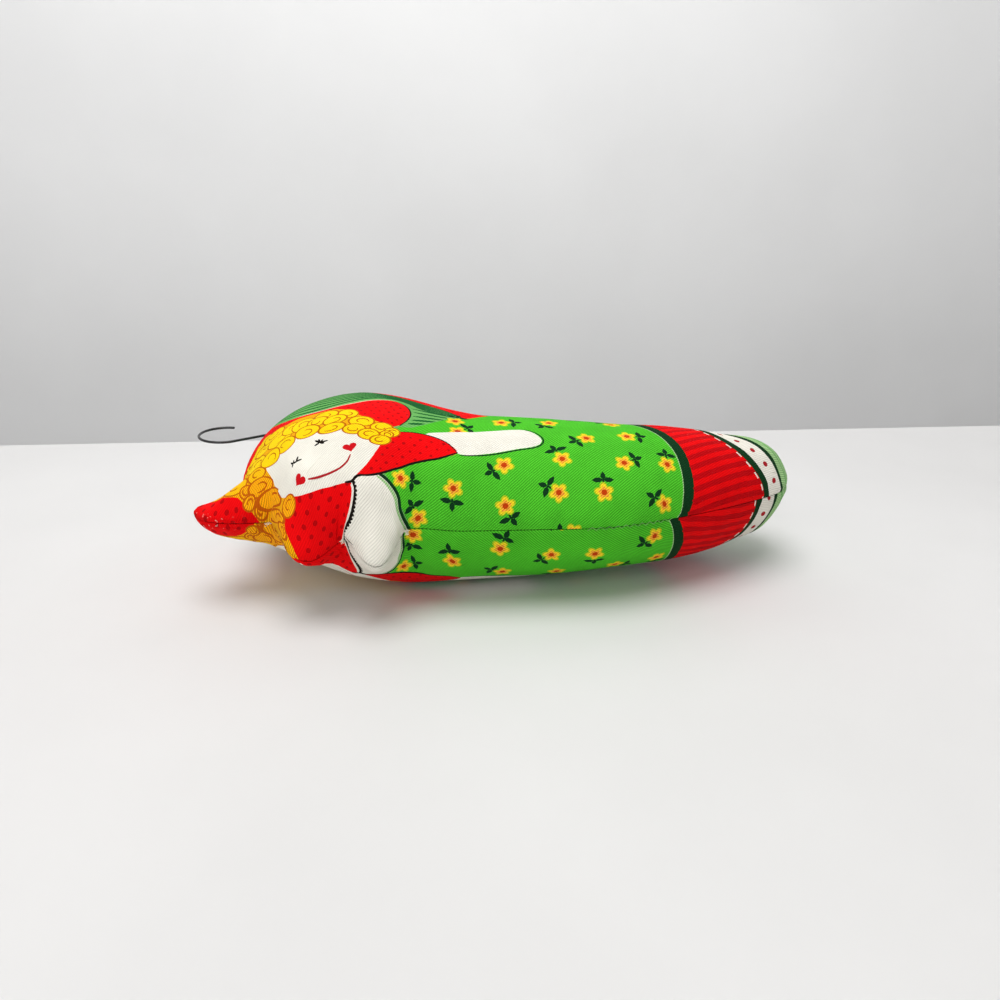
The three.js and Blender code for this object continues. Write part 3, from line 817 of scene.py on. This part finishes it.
def printed_panel(flat_edge, layers, stretch, shift):
    """The flat panel cut along every print line: its points, its triangles and the colour of each."""
    shapes = [flat_edge] + [anticlockwise(shape) * stretch + shift for shape, _ in layers]
    colours = [WING_GREEN] + [colour for _, colour in layers]
    low, high = flat_edge.min(0) - 1, flat_edge.max(0) + 1
    keep = [i for i, s in enumerate(shapes) if (s.max(0) > low).all() and (s.min(0) < high).all()]
    points = np.vstack([shapes[i] for i in keep])
    starts = np.r_[0, np.cumsum([len(shapes[i]) for i in keep])]
    polygons = [list(range(a, b)) for a, b in zip(starts, starts[1:])]
    points = np.vstack([points, grid_inside(flat_edge, PRINT_STEP, 0.5 * PRINT_STEP)])
    points, corners, top = triangulate(points, polygons)
    paint = np.array([colours[keep[i]] for i in top])
    names, corners = np.unique(corners, return_inverse=True)
    return points[names], corners.reshape(-1, 3), paint


def sides_of(corners):
    """Each side of the triangles, as it runs round its triangle, with the number of that triangle."""
    return {side: i for i, (a, b, c) in enumerate(corners.tolist()) for side in ((a, b), (b, c), (c, a))}


def edge_loop(sides):
    """The points round the outside of a triangle mesh, in order."""
    ways = {a: b for a, b in sides if (b, a) not in sides}
    loop = [min(ways)]
    while len(loop) < len(ways):
        loop.append(ways[loop[-1]])
    return np.array(loop)


class Panel:
    """A stuffed panel: where each place of the flat cloth ends up."""

    def __init__(self, flat, solid):
        self.flat = flat
        self.solid = solid
        self.normal = vertex_normals(solid, triangles)
        self.tree = BVHTree.FromPolygons([(x, y, 0) for x, y in flat.tolist()], triangles.tolist())

    def carry(self, points):
        """Places of the flat cloth on the stuffed form: points, normals and the distance to the seam."""
        face = np.array([self.tree.find_nearest((x, y, 0))[2] for x, y in points.tolist()])
        corner = triangles[face]
        a, b, c = [self.flat[corner[:, k]] for k in range(3)]
        whole = cross(b - a, c - a)
        wb = cross(points - a, c - a) / whole
        wc = cross(b - a, points - a) / whole
        weight = np.clip(np.stack([1 - wb - wc, wb, wc], 1), 0, 1)
        weight /= weight.sum(1)[:, None]

        def mix(values):
            return (values[corner] * weight.reshape(weight.shape + (1,) * (values.ndim - 1))).sum(1)

        chord = mix(self.solid)
        bulge = np.zeros_like(chord)
        for k in range(3):
            n = self.normal[corner[:, k]]
            lift = ((chord - self.solid[corner[:, k]]) * n).sum(1)
            bulge += weight[:, k:k + 1] * (chord - lift[:, None] * n)
        return 0.3 * chord + 0.7 * bulge, unit(mix(self.normal)), mix(distance)


def new_mesh(name, points, faces, material):
    mesh = bpy.data.meshes.new(name)
    mesh.from_pydata(points, [], faces)
    mesh.shade_smooth()
    mesh.materials.append(material)
    return mesh


def show(name, data):
    thing = bpy.data.objects.new(name, data)
    bpy.context.scene.collection.objects.link(thing)
    return thing


def link(name, mesh, body, *nodes):
    piece = show(name, mesh)
    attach(piece, body)
    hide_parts(*nodes)
    return piece


def into_frame(points):
    return (np.asarray(points) + SEAM_MIDDLE) * MM


def add_attribute(mesh, name, kind, domain, key, values):
    mesh.attributes.new(name, kind, domain).data.foreach_set(key, np.ravel(values))


def panel_piece(name, panel, calm, facing, stretch, shift, layers, material):
    """One printed panel as a closed shell of cloth, with its wrong side on the calm form inside."""
    points, corners, paint = printed_panel(panel.flat[:EDGE_COUNT], layers, stretch, shift)
    sides = sides_of(corners)
    loop = edge_loop(sides)
    place, normal, deep = panel.carry(points)
    place = place + np.exp(-deep / SEAM_SPLIT_FADE)[:, None] * (0, 0, facing * SEAM_SPLIT)
    lining = np.vstack([points[loop], grid_inside(points[loop], LINING_STEP, 0.6 * LINING_STEP)])
    lining, lining_faces, _ = triangulate(lining, [list(range(len(loop)))])
    under, under_normal, under_deep = calm.carry(lining)
    under = under - facing * CLOTH * under_normal
    along = np.roll(place[loop], -1, 0) - np.roll(place[loop], 1, 0)
    inward = unit(np.c_[left_of(along), 0 * along[:, 0]])
    under[:len(loop)] = place[loop] + RIM * inward
    ahead = np.roll(loop, -1)
    below = len(place) + np.arange(len(loop))
    rim = [np.stack([ahead, loop, below], 1), np.stack([ahead, below, np.roll(below, -1)], 1)]
    faces = np.vstack([corners, len(place) + lining_faces[:, ::-1], *rim])
    if facing < 0:
        faces = faces[:, ::-1]
    spots = np.vstack([place, under])
    spots[:, 2] = np.maximum(spots[:, 2], TABLE_GAP - SEAM_MIDDLE[2])
    mesh = new_mesh(name, into_frame(spots).tolist(), faces.tolist(), material)
    rim_paint = paint[[sides[side] for side in zip(loop.tolist(), ahead.tolist())]]
    lining_paint = np.tile(COTTON, (len(lining_faces), 1))
    colours = np.repeat(np.vstack([paint, lining_paint, rim_paint, rim_paint]), 3, axis=0)
    add_attribute(mesh, "print", "FLOAT_COLOR", "CORNER", "color", colours)
    cloth = np.vstack([np.c_[points, deep], np.c_[lining, LINING_MARK + under_deep]])
    add_attribute(mesh, "cloth", "FLOAT_VECTOR", "POINT", "vector", cloth)
    away = [np.linalg.norm(spots[:, :2] - at, axis=1) / reach for at, reach in WEAR]
    wear = np.max([np.exp(-share**2) for share in away], axis=0)
    add_attribute(mesh, "wear", "FLOAT", "POINT", "value", wear)
    normals = np.vstack([facing * normal, -facing * under_normal])
    mesh.normals_split_custom_set_from_vertices(normals.tolist())
    piece = link(name, mesh, "angel", name.replace("printed_", "") + "_panel")


class Shader:
    """A node material with short ways to add and join nodes."""

    def __init__(self, name, **constants):
        self.material = bpy.data.materials.new(name)
        self.material.use_nodes = True
        self.tree = self.material.node_tree
        self.surface = self.tree.nodes["Principled BSDF"]
        for socket, value in constants.items():
            self.surface.inputs[socket.replace("_", " ")].default_value = value

    def add(self, kind, sockets=(), **settings):
        node = self.tree.nodes.new("ShaderNode" + kind)
        for key, value in settings.items():
            setattr(node, key, value)
        for socket, value in dict(sockets).items():
            self.feed(node.inputs[socket], value)
        return node

    def feed(self, socket, value):
        if isinstance(value, bpy.types.NodeSocket):
            self.tree.links.new(value, socket)
        else:
            socket.default_value = value

    def attribute(self, name, output):
        return self.add("Attribute", attribute_name=name).outputs[output]

    def math(self, operation, *values):
        return self.add("Math", dict(enumerate(values)), operation=operation).outputs[0]

    def turns(self, value, pitch):
        """The angle that goes round once for every pitch."""
        return self.math("MULTIPLY", value, 2 * math.pi / pitch)

    def noise(self, where, scale, detail=2.0):
        return self.add("TexNoise", {"Vector": where, "Scale": scale, "Detail": detail}).outputs["Fac"]

    def spread(self, value, low, high, out_low, out_high):
        return self.add("MapRange", {0: value, 1: low, 2: high, 3: out_low, 4: out_high}).outputs[0]

    def tint(self, blend, share, a, b):
        node = self.add("Mix", data_type="RGBA", blend_type=blend)
        for socket, value in zip((node.inputs[0], node.inputs[6], node.inputs[7]), (share, a, b)):
            self.feed(socket, value)
        return node.outputs[2]

    def shaded(self, colour, shade):
        grey = self.add("CombineColor", {0: shade, 1: shade, 2: shade}).outputs[0]
        return self.tint("MULTIPLY", 1.0, colour, grey)

    def bump(self, height, strength, depth):
        node = self.add("Bump", {"Height": height, "Strength": strength, "Distance": depth})
        self.feed(self.surface.inputs["Normal"], node.outputs[0])


def printed_cotton():
    """Ink on a cotton twill: diagonal ribs and single threads, laid into the colour as painted shade in the
    grooves and painted highlight on the ribs, ink of varying strength, and bare flecks where the seam is
    rubbed."""
    s = Shader("printed_cotton", Sheen_Weight=0.01, Sheen_Roughness=0.45, Specular_IOR_Level=0.05)
    cloth = s.attribute("cloth", "Vector")
    u, v, deep = s.add("SeparateXYZ", {0: cloth}).outputs
    waver = s.math("MULTIPLY", s.noise(cloth, 0.35), RIB_WANDER)
    climb = s.math("SUBTRACT", s.turns(u, RIB_ACROSS), s.turns(v, RIB_ALONG))
    rib = s.math("SINE", s.math("ADD", climb, waver))
    warp, weft = [s.math("SINE", s.turns(way, THREAD_PITCH)) for way in (u, v)]
    threads = s.math("MULTIPLY", warp, weft)
    weave = s.math("ADD", s.math("MULTIPLY", rib, RIB_SHARE), s.math("MULTIPLY", threads, THREAD_SHARE))
    printed = s.attribute("print", "Color")
    pale = s.add("RGBToBW", {0: printed}).outputs[0]
    depth = s.math("MINIMUM", s.spread(pale, 0.17, 0.4, 0.1, 1), s.spread(pale, 0.5, 0.85, 1, 0.32))
    # Painted shade and painted highlight of the weave: the ink is darkened in the grooves and lightened on
    # the ribs, most on mid-tone inks.
    shade = s.math("ADD", 0.95, s.math("MULTIPLY", depth, s.spread(weave, -1, 1, RIB_PAINTED_SHADE, RIB_PAINTED_HIGHLIGHT)))
    patch = s.spread(s.noise(cloth, 0.09, 3), 0.35, 0.65, 0.93, 1.05)
    # The ink with its painted rib shade and highlight, then patches of stronger and weaker ink.
    ink_and_painted_rib_shade = s.shaded(s.shaded(printed, shade), patch)
    worn_place = s.math("MULTIPLY", s.spread(deep, 0.1, 1.1, 1, 0), s.attribute("wear", "Fac"))
    rubbed = s.math("MULTIPLY", worn_place, s.spread(s.noise(cloth, 1.2, 2), 0.64, 0.69, 0, 0.8))
    s.feed(s.surface.inputs["Base Color"], s.tint("MIX", rubbed, ink_and_painted_rib_shade, ink("efe8d8")))
    s.feed(s.surface.inputs["Roughness"], s.spread(weave, -1, 1, 0.92, 0.74))
    s.bump(weave, 0.45, 0.00012)
    return s.material


def placed(name, low, high, scale, depth, **constants):
    """A material whose colour wanders from low to high and whose bump wanders, with place."""
    s = Shader(name, **constants)
    where = s.add("TexCoord").outputs["Object"]
    cloud = s.spread(s.noise(where, scale, 4), 0.35, 0.65, 0, 1)
    s.feed(s.surface.inputs["Base Color"], s.tint("MIX", cloud, ink(low), ink(high)))
    s.bump(s.noise(where, scale * 6, 3), 0.5, depth)
    return s


def fibre():
    s = placed("stuffing_fibre", "e9e6dd", "fbfaf5", 300, 0.0004, Sheen_Weight=0.3, Roughness=0.95)
    return s.material


def thread(name, low, high):
    return placed(name, low, high, 900, 0.00008, Sheen_Weight=0.2, Roughness=0.8).material


def black_wire():
    s = placed("black_wire", "0b0b0c", "1c1b1c", 420, 0.00002, Metallic=0.15, Coat_Weight=0.3)
    where = s.add("TexCoord").outputs["Object"]
    s.feed(s.surface.inputs["Roughness"], s.spread(s.noise(where, 700, 3), 0.3, 0.7, 0.28, 0.5))
    return s.material


def frames_along(path):
    """The direction of a path at each of its points, and two axes across it that don't twist."""
    along = unit(np.gradient(path, axis=0))
    side = np.cross(along[0], (0.3, 0.2, 1))
    axes = []
    for t in along:
        side = side - (side @ t) * t
        side /= np.linalg.norm(side)
        axes.append((side, np.cross(t, side)))
    return along, axes


def tube(path, radius, sides, ends=3):
    """A round strand along a path in millimetres with rounded ends: points and faces."""
    path = np.asarray(path, float)
    along, axes = frames_along(path)
    turns = np.arange(sides) * 2 * math.pi / sides

    def loop(centre, across, r):
        return centre + r * (np.cos(turns)[:, None] * across[0] + np.sin(turns)[:, None] * across[1])

    rings = []
    lean = [math.pi / 2 * k / ends for k in range(1, ends)]
    for a in lean:
        rings.append(loop(path[0] - radius * math.cos(a) * along[0], axes[0], radius * math.sin(a)))
    rings.extend(loop(p, across, radius) for p, across in zip(path, axes))
    for a in reversed(lean):
        rings.append(loop(path[-1] + radius * math.cos(a) * along[-1], axes[-1], radius * math.sin(a)))
    points = np.vstack(rings + [[path[0] - radius * along[0]], [path[-1] + radius * along[-1]]])
    faces = []
    last = len(rings) - 1
    tail = len(points) - 2
    for i in range(sides):
        j = (i + 1) % sides
        for a in range(0, last * sides, sides):
            faces.append((a + i, a + j, a + sides + j, a + sides + i))
        faces.append((tail, j, i))
        faces.append((tail + 1, last * sides + i, last * sides + j))
    return points, faces


def strands(name, bodies, material, body, slot, *nodes):
    """One piece made of several closed tubes, given in the shared frame in millimetres."""
    points, faces = [], []
    for spots, sides in bodies:
        start = len(points)
        points.extend((np.asarray(spots) * MM).tolist())
        faces.extend(tuple(start + i for i in side) for side in sides)
    piece = link(name, new_mesh(name, points, faces, material), body, *nodes)


def two_ply(path, diameter, lay_length):
    """Two strands twisted round each other along a path."""
    path = smooth(path, diameter * 0.45)
    twisted = [[], []]
    for p, (side, other), s in zip(path, frames_along(path)[1], run_along(path)):
        for k in (0, 1):
            angle = 2 * math.pi * s / lay_length + math.pi * k
            twisted[k].append(p + diameter / 4 * (math.cos(angle) * side + math.sin(angle) * other))
    return [tube(line, diameter / 4, 6, 2) for line in twisted]


def spare_cloth(deep, along, spots):
    """How much spare cloth each point has: it comes in waves beside the seam, and most in the notches."""
    notch = np.min([np.linalg.norm(spots - corner, axis=1) for corner in NOTCHES], axis=0)
    wander = np.array([noise.noise(Vector((a / PUCKER_WANDER, 0.7, 1.9))) for a in along.tolist()])
    wave = np.sin(2 * math.pi * along / PUCKER_PITCH + 5 * wander)
    return np.exp(-deep / PUCKER_REACH) * (0.5 + 0.5 * wave) * (0.3 + 0.7 * np.exp(-notch / NOTCH_REACH))


def held_cloth(deep, spots):
    """How firmly each point is held: the seam, the middle of the panels and the place of the hanger."""
    held = np.where(deep < ON_SEAM, 1, smoothstep((deep - FREE_RIM) / HOLD_RUN))
    hanger = np.linalg.norm(spots - HANGER, axis=1)
    return np.maximum(held, 1 - smoothstep((hanger - HANGER_CALM) / HANGER_FADE))


def let_go(points, faces, weights):
    """Where the points of a closed cloth come to rest when it is filled, with the given weight groups."""
    scene = bpy.context.scene
    mesh = bpy.data.meshes.new("loose_cloth")
    mesh.from_pydata((points * CLOTH_SCALE).tolist(), [], faces.tolist())
    sheet = show("loose_cloth", mesh)
    for name, values in weights.items():
        group = sheet.vertex_groups.new(name=name)
        for i, weight in enumerate(values.tolist()):
            group.add([i], weight, "REPLACE")
    cloth = sheet.modifiers.new("cloth", "CLOTH")
    for setting, value in CLOTH_SETTINGS.items():
        setattr(cloth.settings, setting, value)
    cloth.settings.effector_weights.gravity = 0
    cloth.collision_settings.use_collision = False
    for step in range(1, CLOTH_FRAMES + 1):
        scene.frame_set(step)
    worn = sheet.evaluated_get(bpy.context.evaluated_depsgraph_get()).to_mesh()
    settled = np.empty(3 * len(points))
    worn.vertices.foreach_get("co", settled)
    bpy.data.objects.remove(sheet)
    bpy.data.meshes.remove(mesh)
    scene.frame_set(1)
    return settled.reshape(-1, 3) / CLOTH_SCALE


def sewn_cloth(front_solid, back_solid):
    """Both panels let go as cloth: sewn together round the edge and filled, with more cloth beside the seam
    than fits there, so that it puckers. The rest of the form is held."""
    inner = np.arange(EDGE_COUNT, len(plan))
    points = np.vstack([front_solid, back_solid[inner]])
    other = np.r_[np.arange(EDGE_COUNT), len(plan) + np.arange(len(inner))]
    faces = np.vstack([triangles, other[triangles][:, ::-1]])
    deep = np.r_[distance, distance[inner]]
    along = np.r_[around, around[inner] + BACK_PUCKER]
    spots = np.vstack([plan, plan[inner]])
    weights = {"held": held_cloth(deep, spots), "tight": 1 - spare_cloth(deep, along, spots)}
    move = let_go(points, faces, weights) - points
    move *= np.minimum(1, CLOTH_MOST / np.maximum(np.linalg.norm(move, axis=1), 1e-9))[:, None]
    outward = vertex_normals(points, faces)
    rise = (move * outward).sum(1)[:, None]
    move = CLOTH_SLIP * (move - rise * outward) + np.maximum(rise, -CLOTH_SINK) * outward
    points = points + np.round(move, 3)
    return points[:len(plan)], np.vstack([points[:EDGE_COUNT], points[len(plan):]])


cotton = printed_cotton()
stuffing = fibre()
sewing = thread("cotton_thread", "d9d3bf", "f4f0e2")
green_sewing = thread("green_thread", "3f8f2c", "7cc45a")
wire = black_wire()

# Front and back panel.
layers = figure_print()
back_layers = layers + [(np.array(BACK_CHEEK, float), COTTON)]
lumps = np.array([noise.noise(Vector((x / LUMP_SIZE, y / LUMP_SIZE, 3.3))) for x, y in plan.tolist()])
settled = 1 - np.exp(-distance / LUMP_FADE)
front_solid = np.c_[plan, front_height + LUMP * lumps * settled - sag(plan)]
back_solid = np.c_[plan, -back_height - sag(plan)]
calm_front = Panel(front_flat, front_solid)
calm_back = Panel(back_flat, back_solid)
front_solid, back_solid = sewn_cloth(front_solid, back_solid)
front = Panel(front_flat, front_solid)
back = Panel(back_flat, back_solid)
panel_piece("printed_front", front, calm_front, 1, (1, 1), (0, 0), layers, cotton)
panel_piece("printed_back", back, calm_back, -1, BACK_PRINT_STRETCH, BACK_PRINT_SHIFT, back_layers, cotton)

# Stuffing: each wad a little lumpy and drawn in, so it stays clear of the cloth.
for node in ("body_fill", "head_fill", "wing_fill", "bow_fill", "sleeve_fill", "bodice_fill"):
    shape = bmesh.new()
    shape.from_mesh(frame["nodes"][node].data)
    bmesh.ops.remove_doubles(shape, verts=shape.verts, dist=1e-6)
    bmesh.ops.subdivide_edges(shape, edges=shape.edges, cuts=1, use_grid_fill=True)
    shape.normal_update()
    for corner in shape.verts:
        lump = noise.noise(corner.co * WAD_GRAIN)
        corner.co -= corner.normal * MM * (WAD_INSET + WAD_LUMP * lump)
    mesh = bpy.data.meshes.new(node + "_wad")
    shape.to_mesh(mesh)
    shape.free()
    mesh.shade_smooth()
    mesh.materials.append(stuffing)
    piece = link(node.replace("_fill", "_wad"), mesh, "angel", node)

# Seam and closing threads, and the loose ends in the notches.
closed_edge = np.vstack([edge, edge[:1]])
edge_run = run_along(closed_edge)


def seam_line(run, outward, rise):
    """Places along the seam at the given distances round it, moved out from it and up."""
    here, ahead = [
        np.stack([np.interp(at % edge_run[-1], edge_run, closed_edge[:, k]) for k in (0, 1)], 1)
        for at in (run, run + SEAM_AHEAD)
    ]
    along = unit(ahead - here)
    spots = here - outward * left_of(along)
    return np.c_[spots, rise - sag(spots)] + SEAM_MIDDLE


def tuft(x, y, lean_x, lean_y, count, spread):
    """Short curly strands that stand out of the seam at a notch."""
    middle = np.array([x, y - TUFT_OUT, -sag(np.array([(x, y)]))[0]])
    bodies = []
    for _ in range(count):
        way = np.array([lean_x, lean_y, 0]) + chance.uniform(-1, 1, 3) * (0.5, 0.1, 0.5)
        t = np.linspace(0, chance.uniform(TUFT_SHORT, TUFT_LONG), 9)[:, None]
        curl = np.hstack([np.sin(6 * t), np.cos(5 * t) - 1, np.sin(5 * t)])
        curl = curl * chance.uniform(-TUFT_CURL, TUFT_CURL, 3)
        root = middle + chance.uniform(-1, 1, 3) * (spread, 0.1, 0.2)
        path = root + SEAM_MIDDLE + t * way / np.linalg.norm(way) + curl
        bodies.append(tube(path, TUFT_STRAND / 2, 4, 2))
    return bodies


opening = edge_run[next(i for i, (x, y) in enumerate(edge) if x > OPENING_START and y < 0)]
seam_run = np.arange(opening + OPENING_LENGTH, opening + edge_run[-1], SEAM_STEP)
seam_path = seam_line(seam_run, -SEAM_INSET, SEAM_WAVE * np.sin(seam_run * SEAM_WAVES))
stitching = [tube(seam_path, SEAM_THREAD / 2, 5)]
for place, ends in zip(NOTCHES, TUFTS):
    stitching.extend(tuft(*place, *ends))
strands("seam_stitching", stitching, sewing, "angel", "thread", "seam_thread")
quarter = np.arange(3, 4 * round(OPENING_LENGTH / STITCH_PITCH) - 2)
stitch_rise = STITCH_RISE * np.sin(quarter * math.pi / 2)
waves = smooth(seam_line(opening + quarter * STITCH_PITCH / 4, STITCH_OUT, stitch_rise), STITCH_STEP)
stitches = [tube(waves, STITCH_THREAD / 2, 6)]
strands("closing_stitches", stitches, green_sewing, "angel", "thread", "closing_thread")

# Hanging loop and hook, each in the frame of its joint.
loop_joint, hook_joint = frame["joints"]
loop_root, hook_root = [np.array(joint["pos_m"]) / MM for joint in (loop_joint, hook_joint)]
loop_reach = np.linalg.norm(hook_root - loop_root)
loop_run = (hook_root - loop_root) / loop_reach
loop_up = np.cross(loop_run, loop_joint["axis"])
half = LOOP_WIDTH / 2
side = [
    (LOOP_THREAD / 2 + LOOP_GATHER, LOOP_GATHER), (0.4 * loop_reach, 0.6 * half), (loop_reach - half, half),
    (loop_reach - 0.3 * half, 0.72 * half),
]
teardrop = side + [(loop_reach, 0)] + [(x, -z) for x, z in reversed(side)]
path = [loop_root + x * loop_run + z * loop_up for x, z in teardrop]
plies = two_ply(path, LOOP_PLIES * LOOP_THREAD, LOOP_LAY)
strands("twisted_loop", plies, sewing, "loop", "thread", "hanging_loop")

hook_side = np.cross(hook_joint["axis"], HOOK_RUN)
turn = np.linspace(-math.pi / 2 - EYE_SWEEP, -math.pi / 2, 48)
bend = np.linspace(math.pi / 2, math.pi / 2 - BEND_SWEEP, 60)
outline = [(EYE_SLACK + EYE_RADIUS * math.cos(a), EYE_RADIUS * math.sin(a)) for a in turn]
for a in bend:
    x = EYE_SLACK + SHANK + BEND_RADIUS * math.cos(a)
    outline.append((x, BEND_RADIUS * math.sin(a) - EYE_RADIUS - BEND_RADIUS))
path = smooth([hook_root + x * HOOK_RUN + y * hook_side for x, y in outline], HOOK_STEP)
strands("bent_hook", [tube(path, HOOK_WIRE / 2, 14, 4)], wire, "hook", "black_wire", "wire_hook")

# Studio, in metres: a pale table with a round back edge, a wall behind it and soft lights.
TABLE_FRONT = -1.5
TABLE_BACK = 0.14
TABLE_ROUND = 0.01
WALL = 0.34
STUDIO_HALF = 2.5
STUDIO_SKEW = math.radians(4.1)
LIGHT_SIZE = 0.6
AIR = 0.35
CAMERA_PLACE = (0.00721, -0.21906, 0.10422)
CAMERA_PITCH = math.radians(69)


def studio_sheet(name, profile, material):
    """A wide sheet with the given outline from front to back."""
    skew = Matrix.Rotation(STUDIO_SKEW, 3, "Z")
    points = [skew @ Vector((x, y, z)) for x in (-STUDIO_HALF, STUDIO_HALF) for y, z in profile]
    count = len(profile)
    faces = [(i, count + i, count + i + 1, i + 1) for i in range(count - 1)]
    sheet = show(name, new_mesh(name, points, faces, material))


def soft_light(name, place, target, power):
    lamp = bpy.data.lights.new(name, "AREA")
    lamp.shape = "DISK"
    lamp.size = LIGHT_SIZE
    lamp.energy = power
    light = show(name, lamp)
    light.location = place
    light.rotation_euler = (Vector(target) - Vector(place)).to_track_quat("-Z", "Y").to_euler()


def paper(name, low, high, roughness, gloss):
    return placed(name, low, high, 9, 0.0002, Roughness=roughness, Specular_IOR_Level=gloss).material


table = [(TABLE_FRONT, 0.0)]
for a in np.linspace(0, math.pi / 2, 9):
    table.append((TABLE_BACK + TABLE_ROUND * math.sin(a), TABLE_ROUND * math.cos(a) - TABLE_ROUND))
table.append((TABLE_BACK + TABLE_ROUND, -0.4))
studio_sheet("table", table, paper("table_paper", "d9d8d7", "dedddc", 0.7, 0.3))
studio_sheet("wall", [(WALL, -0.6), (WALL, 2.0)], paper("wall_paper", "f0f0f0", "f4f4f4", 0.8, 0.2))
soft_light("overhead", place=(-0.05, -0.05, 0.75), target=(0, 0, 0), power=4.3)
soft_light("front", place=(-0.35, -0.72, 0.42), target=(0, 0, 0.03), power=1.45)
soft_light("wall_wash", place=(0.05, 0.1, 0.5), target=(0.05, WALL, 0.5), power=0.25)
world = bpy.data.worlds.new("studio_air")
world.use_nodes = True
air = world.node_tree.nodes["Background"].inputs
air["Color"].default_value = (1, 1, 1, 1)
air["Strength"].default_value = AIR
bpy.context.scene.world = world
bpy.context.scene.view_settings.view_transform = "Standard"

camera = bpy.data.cameras.new("camera")
camera.sensor_width = 36
camera.lens = 27
view = show("camera", camera)
view.location = CAMERA_PLACE
view.rotation_euler = Euler((CAMERA_PITCH, 0, 0))
bpy.context.scene.camera = view
